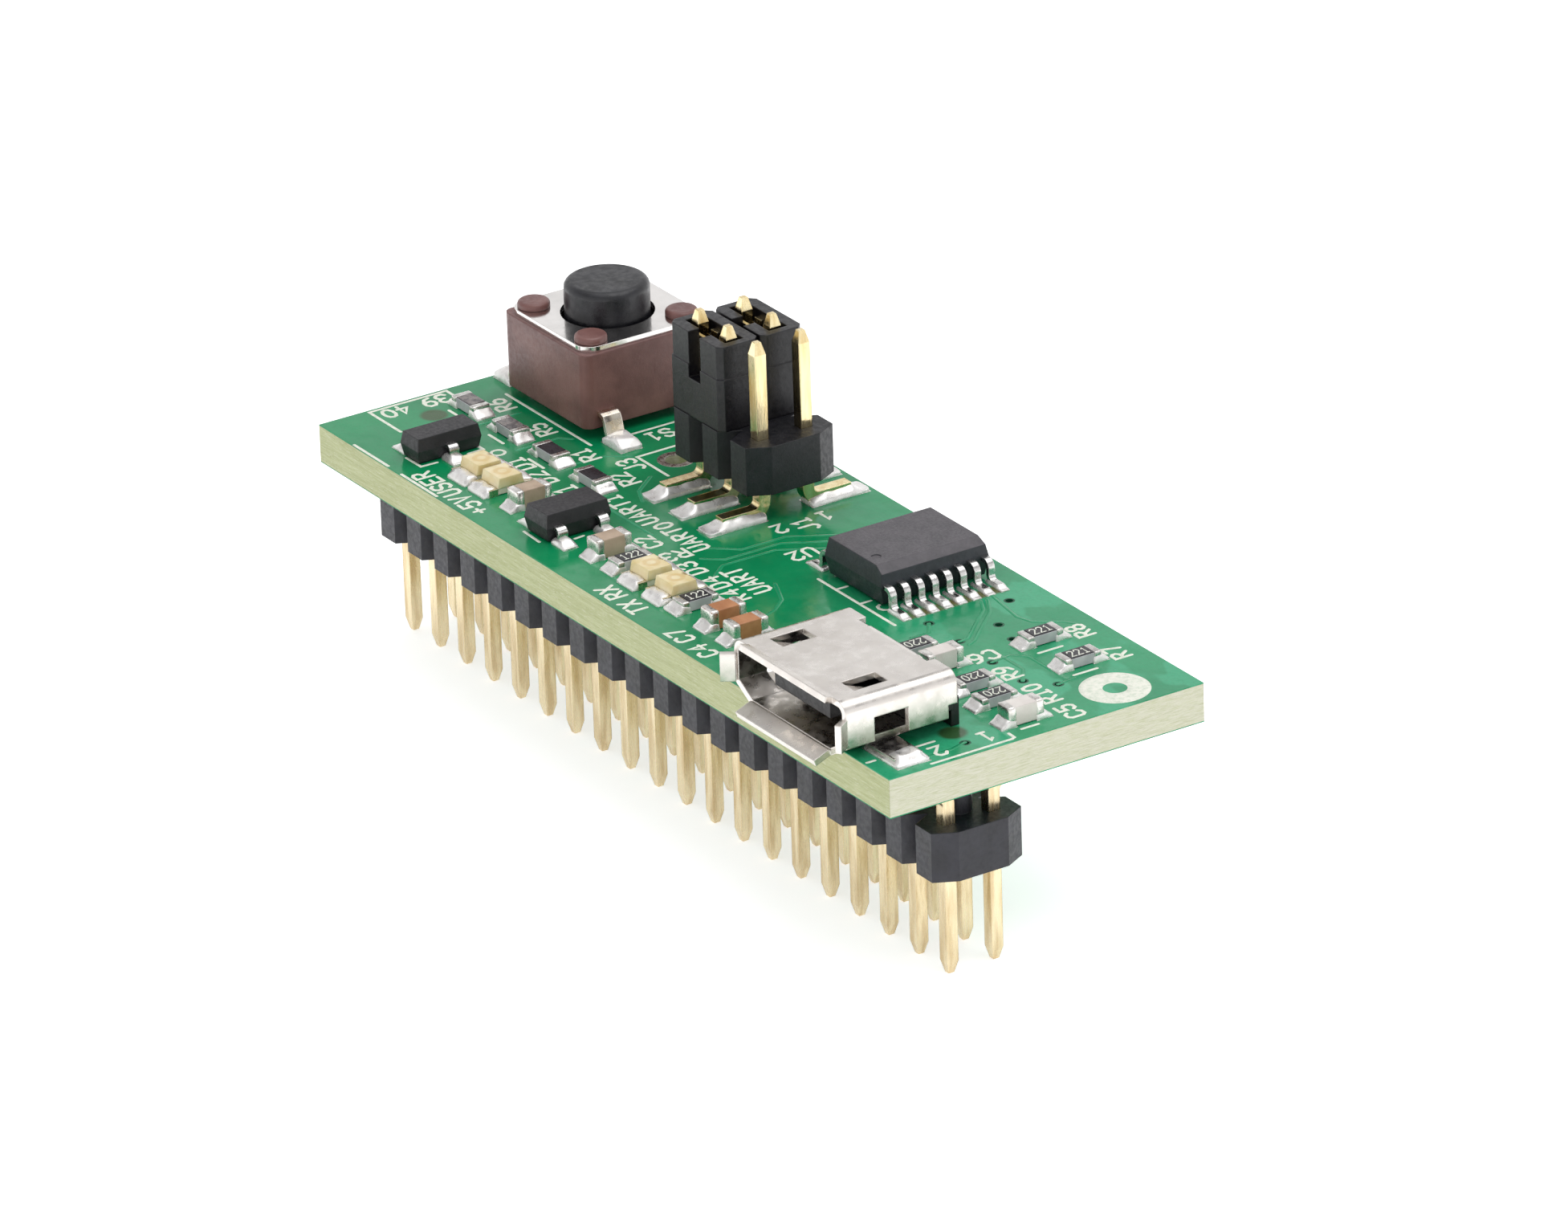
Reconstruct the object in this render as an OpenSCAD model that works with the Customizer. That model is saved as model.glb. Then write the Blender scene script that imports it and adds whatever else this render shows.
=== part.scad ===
// Plug-on serial adapter board.
// A small circuit board stands on a double-row surface-mount pin header. It carries a
// micro USB socket, a bridge chip, a push switch, a jumper block with two lift-off caps,
// two small regulator packages, status lamps, resistors and capacitors.
// Origin: middle of the pin field, in the plane of the pin tips.
// +X runs along the header towards the USB socket, +Y to the far long edge, +Z is up.
// All sizes are in millimetres.

/* [Pin header] */
// Distance between neighbouring pins
pin_pitch = 2.0; // [1.98:0.01:2.0]
// Number of pin columns along the board
pin_columns = 20; // [16:1:20]
// Side of the square pin wire
pin_side = 0.5; // [0.45:0.01:0.52]
// Free length of a pin below the header block
mating_length = 4.13; // [3.5:0.01:6]
// Height of the moulded header block
header_height = 2.0; // [1.8:0.05:2.4]
// Air gap between the header block and the board
header_gap = 1.5; // [1.4:0.05:2.5]

/* [Board] */
// Length of the circuit board along the header
board_length = 40.4; // [40.2:0.1:44]
// Width of the circuit board
board_width = 14.0; // [14:0.1:16]
// Distance from the header's centre line to the front edge
board_front = 4.2; // [4.2:0.05:4.5]
// Full thickness of the board
board_thickness = 1.6; // [1.2:0.1:2]
// Thickness of the lacquer and of the copper pads
skin = 0.04; // [0.03:0.01:0.06]

/* [Jumper block] */
// Position of the middle post column along X
block_x = -4.3; // [-4.6:0.1:-4.0]
// Position of the block's centre line along Y
block_y = 5.9; // [5.8:0.05:6]
// Free length of a post above the block
post_length = 4.0; // [3.9:0.1:6]
// Air gap between the block and the board
block_gap = 1.3; // [1.2:0.05:1.6]
// Length of a jumper cap over two posts
cap_length = 3.6; // [3.4:0.05:3.8]
// Width of a jumper cap
cap_width = 1.94; // [1.8:0.01:1.94]
// Height of a jumper cap
cap_height = 3.5; // [3.2:0.1:3.6]

/* [Push switch] */
// Switch centre along X
switch_x = -15.45; // [-15.6:0.05:-15.3]
// Switch centre along Y
switch_y = 6.35; // [6.3:0.05:6.5]
// Side of the square switch base
switch_side = 6.0; // [5.8:0.1:6.2]
// Air gap between the switch base and the board
switch_lift = 0.43; // [0.3:0.01:0.45]
// Height of the moulded base
switch_base_top = 3.1; // [3:0.05:3.4]
// Diameter of the push button
button_diameter = 3.4; // [3.2:0.1:3.5]
// Height of the button's top above the underside of the base
button_top = 4.7; // [4.4:0.1:7]

/* [USB socket] */
// Socket centre along X
usb_x = 14.5; // [14.3:0.1:14.8]
// Outside width of the shell
usb_width = 7.5; // [7.4:0.05:7.6]
// Outside height of the shell
usb_height = 2.4; // [2.35:0.05:2.6]
// Depth of the shell, mouth to back
usb_depth = 4.9; // [4.8:0.1:5.1]
// Distance of the mouth beyond the board's front edge
usb_overhang = 0.55; // [0.4:0.05:0.8]
// Thickness of the shell sheet
usb_sheet = 0.25; // [0.2:0.01:0.28]

/* [Bridge chip] */
// Chip centre along X
chip_x = 5.65; // [5.6:0.05:5.8]
// Chip centre along Y
chip_y = 6.3; // [6.2:0.05:6.4]
// Distance between neighbouring leads
chip_pitch = 0.635; // [0.63:0.005:0.65]
// Number of leads on each side
chip_leads = 8; // [6:1:8]
// Body width between the two lead rows
chip_width = 3.9; // [3.8:0.05:4]
// Body length along the lead rows
chip_length = 4.9; // [4.8:0.05:5]

/* [Small chips] */
// Length of a small two-ended chip
small_length = 1.6; // [1.5:0.05:1.6]
// Width of a small two-ended chip
small_width = 0.8; // [0.75:0.05:0.85]
// Thickness of a resistor
resistor_height = 0.45; // [0.4:0.05:0.5]
// Thickness of a capacitor
capacitor_height = 0.8; // [0.7:0.05:0.9]
// Length of a status lamp
lamp_length = 2.0; // [1.9:0.05:2]
// Width of a status lamp
lamp_width = 1.25; // [1.1:0.05:1.25]

/* [Hidden] */
$fn = 48;

eps = 0.01;
header_z = mating_length;
header_top = header_z + header_height;
board_bottom = header_top + header_gap;
board_top = board_bottom + board_thickness;
core_thickness = board_thickness - 2 * skin;
foot_reach = 1.95;

// Two-ended chips: x, y and turn about Z
resistor_places = [
  [-17.85, 1.37, 0], [-14.9, 1.37, 0], [-11.9, 1.37, 0], [-8.87, 1.37, 0],
  [-1.47, -1.6, 90], [3.1, -1.6, 90], [13.5, 7.05, 90], [15.98, 7.05, 90],
  [11.65, 2.65, 90], [15.4, 2.7, 90], [17.0, 2.6, 90]
];
brown_places = [[-8.73, -1.6, 90], [-2.97, -1.6, 90], [5.07, -1.6, 90], [6.6, -1.6, 90]];
grey_places = [[13.25, 2.75, 90], [18.83, 2.55, 90]];
lamp_places = [[-12.25, -1.6, 90], [-10.7, -1.6, 90], [0.02, -1.6, 90], [1.75, -1.6, 90]];
regulator_place = [-5.88, -1.65];
transistor_place = [-15.05, -1.72];

// Open vias and the two unused plated holes
via_places = [
  [9.71, 4.56], [11.38, 6.6], [12.76, 6.29], [11.75, 4.58], [9.81, 8.14],
  [14.03, 4.52], [17.08, 5.41], [16.06, 4.51], [19.24, -0.21]
];
spare_hole_places = [[-8.9, 5.2], [-8.9, 7.2]];
spare_hole_radius = 0.45;
peg_places = [[-18.3, 0], [18.3, 0]];
peg_radius = 0.55;

function column_x(i, n, pitch) = (i - (n - 1) / 2) * pitch;

// ---------- shared helpers ----------

module at_places(places, z) {
  for (p = places) {
    translate([p[0], p[1], z]) rotate([0, 0, p[2]]) children();
  }
}

module flat_at_places(places) {
  for (p = places) {
    translate([p[0], p[1]]) rotate(p[2]) children();
  }
}

module rounded_square(size_x, size_y, radius) {
  square([size_x - 2 * radius, size_y], center = true);
  square([size_x, size_y - 2 * radius], center = true);
  for (sx = [-1, 1], sy = [-1, 1]) {
    translate([sx * (size_x / 2 - radius), sy * (size_y / 2 - radius)]) circle(r = radius);
  }
}

module flat_box(x0, x1, y0, y1) {
  translate([x0, y0]) square([x1 - x0, y1 - y0]);
}

module box(x0, x1, y0, y1, z0, z1) {
  translate([x0, y0, z0]) cube([x1 - x0, y1 - y0, z1 - z0]);
}

// A profile drawn with Y across and Z up, centred on X
module slice_x(width) {
  rotate([90, 0, 90]) translate([0, 0, -width / 2]) linear_extrude(width) children();
}

// A profile drawn with X across and Z up, centred on Y
module slice_y(width) {
  rotate([90, 0, 0]) translate([0, 0, -width / 2]) linear_extrude(width) children();
}

// Concave solder profile, tall at the origin and running out along +X
module fillet_profile(run) {
  difference() {
    square([run, run]);
    translate([run, run]) circle(r = run - 0.03);
  }
}

// One fillet against an end face that looks along +X
module end_fillet(width, run) {
  rotate([90, 0, 0]) translate([0, 0, -width / 2]) linear_extrude(width) fillet_profile(run);
}

// ---------- copper pads, drawn flat ----------

module two_pads(offset_x, size_x, size_y) {
  for (s = [-1, 1]) {
    translate([s * offset_x, 0]) square([size_x, size_y], center = true);
  }
}

module chip_pads_flat() {
  for (s = [-1, 1], i = [0:chip_leads - 1]) {
    translate([chip_x + s * 2.9, chip_y + column_x(i, chip_leads, chip_pitch)])
      square([0.95, 0.4], center = true);
  }
}

module top_pads_flat() {
  flat_at_places(concat(resistor_places, brown_places, grey_places)) two_pads(0.79, 0.74, 0.88);
  flat_at_places(lamp_places) two_pads(0.9, 0.7, 1.15);
  chip_pads_flat();
  for (s = [-1, 1]) {
    translate([regulator_place[0] + 1.3, regulator_place[1] + s * 0.95])
      square([0.9, 0.7], center = true);
    translate([transistor_place[0] - 1.1, transistor_place[1] + s * 0.95])
      square([0.9, 0.8], center = true);
  }
  for (i = [-1, 0, 1]) {
    translate([regulator_place[0] - 1.3, regulator_place[1] + i * 0.95])
      square([0.9, 0.6], center = true);
  }
  translate([transistor_place[0] + 1.1, transistor_place[1]]) square([0.9, 0.8], center = true);
  for (i = [-1, 0, 1], s = [-1, 1]) {
    translate([block_x + i * pin_pitch, block_y + s * 2.35]) square([1.0, 2.7], center = true);
  }
  for (s = [-1, 1]) {
    translate([switch_x, switch_y + s * lead_offset]) {
      flat_box(3.35, 4.85, -0.52, 0.52);
      flat_box(-4.65, -3.35, -0.52, 0.52);
    }
    translate([usb_x + s * 4.05, usb_mouth + 1.98]) square([2.4, 1.5], center = true);
  }
  for (i = [0:4]) {
    translate([usb_x + column_x(i, 5, 0.65), 1.1]) square([0.4, 1.1], center = true);
  }
}

module bottom_pads_flat() {
  for (i = [0:pin_columns - 1], s = [-1, 1]) {
    translate([column_x(i, pin_columns, pin_pitch), s * 2.35]) square([1.0, 2.7], center = true);
  }
}

module board_outline() {
  translate([-board_length / 2, -board_front]) square([board_length, board_width]);
}

// ---------- board ----------

module board_core() {
  color("#b9be87")
  translate([0, 0, board_bottom + skin])
  linear_extrude(core_thickness)
  difference() {
    board_outline();
    for (p = via_places) {
      translate(p) circle(r = 0.22);
    }
    for (p = spare_hole_places) {
      translate(p) circle(r = spare_hole_radius);
    }
    for (p = peg_places) {
      translate(p) circle(r = peg_radius + 0.05);
    }
  }
}

module mask_holes() {
  for (p = via_places) {
    translate(p) circle(r = 0.22);
  }
  for (p = spare_hole_places) {
    translate(p) circle(r = 0.75);
  }
}

module solder_mask() {
  color("#10915c") {
    translate([0, 0, board_top - skin])
    linear_extrude(skin)
    difference() {
      board_outline();
      top_pads_flat();
      mask_holes();
    }
    translate([0, 0, board_bottom])
    linear_extrude(skin)
    difference() {
      board_outline();
      bottom_pads_flat();
      mask_holes();
      for (p = peg_places) {
        translate(p) circle(r = peg_radius + 0.05);
      }
    }
  }
}

module copper_pads() {
  color("#d8d4c8") {
    translate([0, 0, board_top - skin]) linear_extrude(skin) top_pads_flat();
    translate([0, 0, board_bottom]) linear_extrude(skin) bottom_pads_flat();
  }
}

module via_barrels() {
  color("#2f6b4c")
  for (p = via_places) {
    translate([p[0], p[1], board_bottom])
    difference() {
      cylinder(h = board_thickness, r = 0.22);
      translate([0, 0, -1]) cylinder(h = board_thickness + 2, r = 0.15);
    }
  }
}

module plated_holes() {
  color("#c9c4b6")
  for (p = spare_hole_places) {
    for (z = [board_bottom, board_top - skin]) {
      translate([p[0], p[1], z])
      difference() {
        cylinder(h = skin, r = 0.75);
        translate([0, 0, -1]) cylinder(h = 2, r = spare_hole_radius);
      }
    }
  }
}

// ---------- pin headers ----------

// Plan of a moulded block: one eight-sided tooth for each column
module block_plan(columns) {
  corner_x = 0.24 * pin_pitch;
  corner_y = 0.45 * pin_pitch;
  for (i = [0:columns - 1]) {
    translate([column_x(i, columns, pin_pitch), 0])
    polygon([
      [-pin_pitch / 2, -pin_pitch + corner_y], [-pin_pitch / 2 + corner_x, -pin_pitch],
      [pin_pitch / 2 - corner_x, -pin_pitch], [pin_pitch / 2, -pin_pitch + corner_y],
      [pin_pitch / 2, pin_pitch - corner_y], [pin_pitch / 2 - corner_x, pin_pitch],
      [-pin_pitch / 2 + corner_x, pin_pitch], [-pin_pitch / 2, pin_pitch - corner_y]
    ]);
  }
}

module block_body(columns, height) {
  hole = pin_side + 2 * eps;
  linear_extrude(height)
  difference() {
    block_plan(columns);
    for (i = [0:columns - 1], s = [-1, 1]) {
      translate([column_x(i, columns, pin_pitch), s * pin_pitch / 2])
        square([hole, hole], center = true);
    }
  }
}

// Side profile of a bent pin: straight leg from the tip at 0, then a foot along -Y
module pin_profile(foot_top) {
  half = pin_side / 2;
  bend = 0.25;
  outer = bend + pin_side;
  polygon([
    [-half, 0.5], [-half * 0.5, 0], [half * 0.5, 0], [half, 0.5],
    [half, foot_top - outer], [-half, foot_top - outer]
  ]);
  translate([-half - bend, foot_top - outer])
  intersection() {
    difference() {
      circle(r = outer);
      circle(r = bend);
    }
    square([outer, outer]);
  }
  translate([-foot_reach, foot_top - pin_side])
    square([foot_reach - half - bend, pin_side]);
}

module bent_pin(foot_top) {
  half = pin_side / 2;
  intersection() {
    slice_x(2) pin_profile(foot_top);
    slice_y(8) polygon([
      [-half * 0.5, 0], [half * 0.5, 0], [half, 0.5], [half, foot_top + 1],
      [-half, foot_top + 1], [-half, 0.5]
    ]);
  }
}

// Foot solder: a fillet at the toe and one along each flank
module foot_solder(reach) {
  translate([0, -reach, 0]) rotate([0, 0, -90]) end_fillet(0.7, 0.4);
  for (s = [-1, 1]) {
    translate([s * pin_side / 2, -reach + 0.65, 0])
      rotate([0, 0, s > 0 ? 0 : 180]) end_fillet(1.3, 0.22);
  }
}

module header_block() {
  color("#3c3c44") {
    translate([0, 0, header_z]) block_body(pin_columns, header_height);
    for (p = peg_places) {
      translate([p[0], p[1], header_top]) cylinder(h = header_gap + 1.2, r = peg_radius);
    }
  }
}

module header_pins() {
  color("#e3cd96")
  for (i = [0:pin_columns - 1], s = [-1, 1]) {
    translate([column_x(i, pin_columns, pin_pitch), s * pin_pitch / 2, 0])
      rotate([0, 0, s > 0 ? 180 : 0]) bent_pin(board_bottom);
  }
}

module header_solder() {
  color("#cfcfd2")
  for (i = [0:pin_columns - 1], s = [-1, 1]) {
    translate([column_x(i, pin_columns, pin_pitch), s * pin_pitch / 2, board_bottom])
      rotate([0, 0, s > 0 ? 180 : 0]) mirror([0, 0, 1]) foot_solder(foot_reach);
  }
}

block_bottom = board_top + block_gap;
block_top = block_bottom + header_height;
post_top = block_top + post_length;

module jumper_block() {
  color("#3c3c44")
  translate([block_x, block_y, block_bottom]) block_body(3, header_height);
}

module jumper_posts() {
  color("#ead9a8")
  for (i = [-1, 0, 1], s = [-1, 1]) {
    translate([block_x + i * pin_pitch, block_y + s * pin_pitch / 2, post_top])
      rotate([0, 0, s > 0 ? 180 : 0]) mirror([0, 0, 1]) bent_pin(post_top - board_top);
  }
}

module jumper_solder() {
  color("#cfcfd2")
  for (i = [-1, 0, 1], s = [-1, 1]) {
    translate([block_x + i * pin_pitch, block_y + s * pin_pitch / 2, board_top])
      rotate([0, 0, s > 0 ? 180 : 0]) foot_solder(foot_reach);
  }
}

// ---------- jumper caps ----------

clip_outer = 0.41;
clip_inner = pin_side / 2 + eps;

module cap_plan(inset) {
  corner = 0.22;
  half_x = cap_length / 2 - inset;
  half_y = cap_width / 2 - inset;
  polygon([
    [-half_x + corner, -half_y], [half_x - corner, -half_y], [half_x, -half_y + corner],
    [half_x, half_y - corner], [half_x - corner, half_y], [-half_x + corner, half_y],
    [-half_x, half_y - corner], [-half_x, -half_y + corner]
  ]);
}

module cap_housing() {
  cavity = clip_outer + eps;
  difference() {
    union() {
      linear_extrude(2.15) cap_plan(0);
      linear_extrude(cap_height) cap_plan(0.04);
    }
    box(-1.42, 1.42, -cavity, cavity, -1, cap_height + 1);
    // Test slot in the front wall
    box(-0.42, 0.42, -cap_width, 0, 1.6, cap_height + 1);
  }
}

module cap_clip() {
  difference() {
    box(-1.4, 1.4, -clip_outer, clip_outer, 0.3, cap_height - 0.3);
    box(-2, 2, -clip_inner, clip_inner, 0.55, cap_height);
    for (s = [-1, 1]) {
      translate([s * pin_pitch / 2, 0, 0]) box(-0.5, 0.5, -clip_inner, clip_inner, -1, 1);
      box(s > 0 ? 1.2 : -2, s > 0 ? 2 : -1.2, -1, 1, -1, 0.9);
    }
    box(-0.2, 0.2, 0, 1, 1.5, cap_height);
    for (s = [-1, 1]) {
      box(s * 1.1 - 0.45, s * 1.1 + 0.45, -1, 1, cap_height - 0.55, cap_height);
    }
  }
}

module place_cap(side) {
  translate([block_x - pin_pitch / 2, block_y + side * pin_pitch / 2, block_top + eps])
    children();
}

module jumper_cap_a() {
  color("#34343a") place_cap(-1) cap_housing();
}

module jumper_clip_a() {
  color("#d8d2c0") place_cap(-1) cap_clip();
}

module jumper_cap_b() {
  color("#34343a") place_cap(1) cap_housing();
}

module jumper_clip_b() {
  color("#d8d2c0") place_cap(1) cap_clip();
}

// ---------- USB socket ----------

usb_mouth = -board_front - usb_overhang;
usb_back = usb_mouth + usb_depth;

// Mouth outline: flat top with round corners, lower corners cut away
module usb_outline(inset) {
  half = usb_width / 2;
  corner = 0.5;
  union() {
    polygon([
      [-half + 1.05 + inset * 0.4, inset], [half - 1.05 - inset * 0.4, inset],
      [half - inset, 0.62 + inset * 0.6], [half - inset, usb_height - corner],
      [-half + inset, usb_height - corner], [-half + inset, 0.62 + inset * 0.6]
    ]);
    translate([-half + corner, usb_height - corner - 0.001])
      square([usb_width - 2 * corner, corner - inset + 0.001]);
    for (s = [-1, 1]) {
      translate([s * (half - corner), usb_height - corner]) circle(r = corner - inset);
    }
  }
}

module usb_prism(y0, y1, inset) {
  translate([usb_x, y1, board_top]) rotate([90, 0, 0]) linear_extrude(y1 - y0) usb_outline(inset);
}

module usb_shell() {
  half = usb_width / 2;
  bend = 0.45;
  color("#dcd8d0")
  union() {
    difference() {
      usb_prism(usb_mouth, usb_back, 0);
      usb_prism(usb_mouth - 1, usb_back + 1, usb_sheet);
      translate([usb_x, usb_mouth, board_top]) {
        for (s = [-1, 1]) {
          box(s > 0 ? 2.75 : -4, s > 0 ? 4 : -2.75, 1.25, 2.75, usb_sheet, 1.58);
          box(s > 0 ? 2.5 : -4, s > 0 ? 4 : -2.5, usb_depth - 0.4, usb_depth + 1, -1, 1.15);
          box(s * 2.4 - 0.45, s * 2.4 + 0.45, 0.98, 2.48, 1.5, 3);
          box(s * 1.95 - 0.35, s * 1.95 + 0.35, usb_depth - 0.35, usb_depth + 1, 1.5, 3);
        }
        box(-1.65, 1.65, usb_depth - 0.6, usb_depth + 1, -1, 0.6);
        box(-1.6, 1.6, usb_depth - bend, usb_depth + 1, 1, 3);
      }
    }
    translate([usb_x, usb_mouth, board_top]) {
      // Latch springs that dip into the mouth from the top sheet
      for (s = [-1, 1]) {
        translate([s * 2.4, 0.9, usb_height - 0.13]) rotate([-20, 0, 0])
          box(-0.3, 0.3, 0, 1.15, -0.1, 0.1);
      }
      // Flared lips round the mouth
      translate([0, 0.05, usb_height - usb_sheet]) rotate([-18, 0, 0])
        box(-2.9, 2.9, -0.42, 0, 0, usb_sheet);
      translate([0, 0.05, 0]) rotate([22, 0, 0]) box(-2.65, 2.65, -0.75, 0, 0, usb_sheet);
      for (s = [-1, 1]) {
        translate([s * half, 0.06, 0]) rotate([0, 0, s * 34])
          box(s > 0 ? -usb_sheet : 0, s > 0 ? 0 : usb_sheet, -0.6, 0, 0.68, 1.8);
      }
      // Side wings that are soldered to the board
      for (s = [-1, 1]) {
        box(s > 0 ? 2.4 : -4.85, s > 0 ? 4.85 : -2.4, 1.35, 2.6, 0, usb_sheet);
      }
      // Folded flap that closes the back
      box(-1.6, 1.6, usb_depth - usb_sheet, usb_depth, 1.25, usb_height - bend + 0.01);
      translate([0, usb_depth - bend, usb_height - bend]) slice_x(3.2) intersection() {
        difference() {
          circle(r = bend);
          circle(r = bend - usb_sheet);
        }
        square([bend, bend]);
      }
    }
  }
}

// Side profile of one contact: blade under the tongue, drop at the back, tail on the board
module contact_profile() {
  polygon([
    [0.75, 1.02], [usb_depth - 0.5, 1.02], [usb_depth - 0.5, 0.05], [usb_depth + 1.15, 0.05],
    [usb_depth + 1.15, 0.2], [usb_depth - 0.35, 0.2], [usb_depth - 0.35, 1.17], [0.75, 1.17]
  ]);
}

module usb_contact_row(width) {
  for (i = [0:4]) {
    translate([usb_x + column_x(i, 5, 0.65), usb_mouth, board_top]) slice_x(width)
      contact_profile();
  }
}

module usb_insulator() {
  color("#26262a")
  difference() {
    union() {
      usb_prism(usb_mouth + 3.6, usb_back - 0.02, usb_sheet + 0.02);
      translate([usb_x, usb_mouth, board_top]) {
        box(-1.85, 1.85, 0.55, 3.7, 1.02, 1.7);
        box(-3.3, 3.3, usb_depth, usb_depth + 0.35, 0.02, 1.18);
        box(-2.2, 2.2, usb_depth - 0.5, usb_depth + 0.2, 0.35, 1.1);
      }
    }
    usb_contact_row(0.25);
    translate([usb_x, usb_mouth, board_top]) {
      box(-1.62, 1.62, usb_depth - usb_sheet - 0.02, usb_depth + 0.4, 1.2, 3);
      box(-1.62, 1.62, usb_depth - 0.46, usb_depth + 0.4, usb_height - 0.46, 3);
      for (s = [-1, 1]) {
        box(s * 2.42 - 0.4, s * 2.42 + 0.4, 3, 3.9, 1.2, 1.75);
      }
    }
  }
}

module usb_contacts() {
  color("#d9c27c") usb_contact_row(0.25);
}

module usb_solder() {
  color("#d4d4d6") {
    for (s = [-1, 1]) {
      translate([usb_x + s * 4.85, usb_mouth + 1.98, board_top])
        rotate([0, 0, s > 0 ? 0 : 180]) {
          end_fillet(1.3, 0.24);
          translate([-0.4, 0, usb_sheet]) box(-0.3, 0.35, -0.55, 0.55, 0, 0.12);
        }
      for (t = [-1, 1]) {
        translate([usb_x + s * 4.35, usb_mouth + 1.975 + t * 0.625, board_top])
          rotate([0, 0, t * 90]) end_fillet(1.0, 0.1);
      }
    }
    for (i = [0:4]) {
      translate([usb_x + column_x(i, 5, 0.65), usb_back + 1.15, board_top])
        rotate([0, 0, 90]) end_fillet(0.3, 0.2);
    }
  }
}

// ---------- push switch ----------

post_offset = 2.1;
lead_offset = 2.08;
lead_width = 0.8;

module in_switch() {
  translate([switch_x, switch_y, board_top + switch_lift]) children();
}

// Terminal side profile: buried strip with a bent foot at both ends
module terminal_profile() {
  half = switch_side / 2;
  low = -switch_lift;
  half_profile = [
    [half + 0.24, 0.7], [half + 0.4, 0.62], [half + 0.52, 0.42], [half + 0.68, low + 0.3],
    [half + 0.76, low + 0.2], [half + 1.45, low + 0.2], [half + 1.45, low], [half + 0.64, low],
    [half + 0.5, low + 0.2], [half + 0.34, 0.36], [half + 0.28, 0.46], [half + 0.2, 0.5]
  ];
  for (s = [0, 1]) {
    mirror([s, 0]) polygon(concat([[0, 0.7]], half_profile, [[0, 0.5]]));
  }
}

module terminal_shapes() {
  translate([0, -lead_offset, 0]) slice_y(lead_width) terminal_profile();
  box(-0.35, 0.35, -lead_offset + 0.3, 0, 0.5, 0.7);
  translate([0, 0, 0.5]) cylinder(h = 0.35, r = 0.4);
  translate([0, lead_offset, 0]) slice_y(lead_width) terminal_profile();
  box(-0.9, 0.9, 1.5, lead_offset - 0.3, 0.5, 0.8);
}

module switch_base() {
  color("#69504b")
  in_switch()
  difference() {
    union() {
      linear_extrude(switch_base_top)
        rounded_square(switch_side, switch_side, 0.4);
      for (sx = [-1, 1], sy = [-1, 1]) {
        translate([sx * post_offset, sy * post_offset, switch_base_top - 0.1]) {
          cylinder(h = 0.4, r = 0.42);
          translate([0, 0, 0.36]) rivet_head();
        }
      }
    }
    translate([0, 0, 0.8]) cylinder(h = 5, r = 2.15);
    terminal_shapes();
  }
}

// Low domed head of a staked post
module rivet_head() {
  rotate_extrude() {
    square([0.45, 0.27]);
    square([0.65, 0.12]);
    translate([0.5, 0.12]) intersection() {
      circle(r = 0.15);
      square([0.2, 0.2]);
    }
    square([0.5, 0.27]);
  }
}

module switch_terminals() {
  color("#d9c9a0") in_switch() terminal_shapes();
}

// Thin snap dome resting on the base floor
module switch_dome() {
  rim = 1.9;
  rise = 0.45;
  sphere_radius = (rim * rim + rise * rise) / (2 * rise);
  color("#c8ccd2")
  in_switch() translate([0, 0, 0.81 + rise - sphere_radius])
  rotate_extrude() intersection() {
    difference() {
      circle(r = sphere_radius, $fn = 96);
      circle(r = sphere_radius - 0.07, $fn = 96);
    }
    translate([0, sphere_radius - rise]) square([rim + 1, 2 * rise]);
  }
}

module switch_button() {
  radius = button_diameter / 2;
  edge = 0.3;
  color("#2b2b30")
  in_switch() rotate_extrude() {
    square_from(0, radius, 2.2, button_top - edge);
    square_from(0, radius - edge, button_top - edge - 0.1, button_top);
    translate([radius - edge, button_top - edge]) intersection() {
      circle(r = edge);
      square([edge, edge]);
    }
    square_from(0, 2.08, 2.35, 2.85);
    square_from(0, 0.7, 1.36, 2.3);
  }
}

module square_from(x0, x1, z0, z1) {
  translate([x0, z0]) square([x1 - x0, z1 - z0]);
}

module switch_cover() {
  color("#dedad6")
  in_switch() translate([0, 0, switch_base_top])
  linear_extrude(0.25) difference() {
    rounded_square(switch_side - 0.3, switch_side - 0.3, 0.7);
    circle(r = button_diameter / 2 + 0.17);
    for (sx = [-1, 1], sy = [-1, 1]) {
      translate([sx * post_offset, sy * post_offset]) circle(r = 0.43);
    }
  }
}

module switch_solder() {
  color("#d4d2cc")
  in_switch()
  for (s = [-1, 1]) {
    for (a = [0, 180]) {
      rotate([0, 0, a]) translate([switch_side / 2, s * lead_offset, -switch_lift]) {
        translate([1.45, 0, 0]) end_fillet(0.9, 0.18);
        for (t = [-1, 1]) {
          translate([1.1, t * lead_width / 2, 0]) rotate([0, 0, t * 90]) end_fillet(0.66, 0.11);
        }
      }
    }
  }
}

// ---------- moulded packages ----------

// Moulded body with draft above and below a parting line
module moulded_body(size_x, size_y, z0, z1, draft) {
  middle = (z0 + z1) / 2;
  intersection() {
    slice_x(size_x + 2) polygon([
      [-size_y / 2 + draft, z0], [size_y / 2 - draft, z0], [size_y / 2, middle],
      [size_y / 2 - draft, z1], [-size_y / 2 + draft, z1], [-size_y / 2, middle]
    ]);
    slice_y(size_y + 2) polygon([
      [-size_x / 2 + draft, z0], [size_x / 2 - draft, z0], [size_x / 2, middle],
      [size_x / 2 - draft, z1], [-size_x / 2 + draft, z1], [-size_x / 2, middle]
    ]);
  }
}

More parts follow.
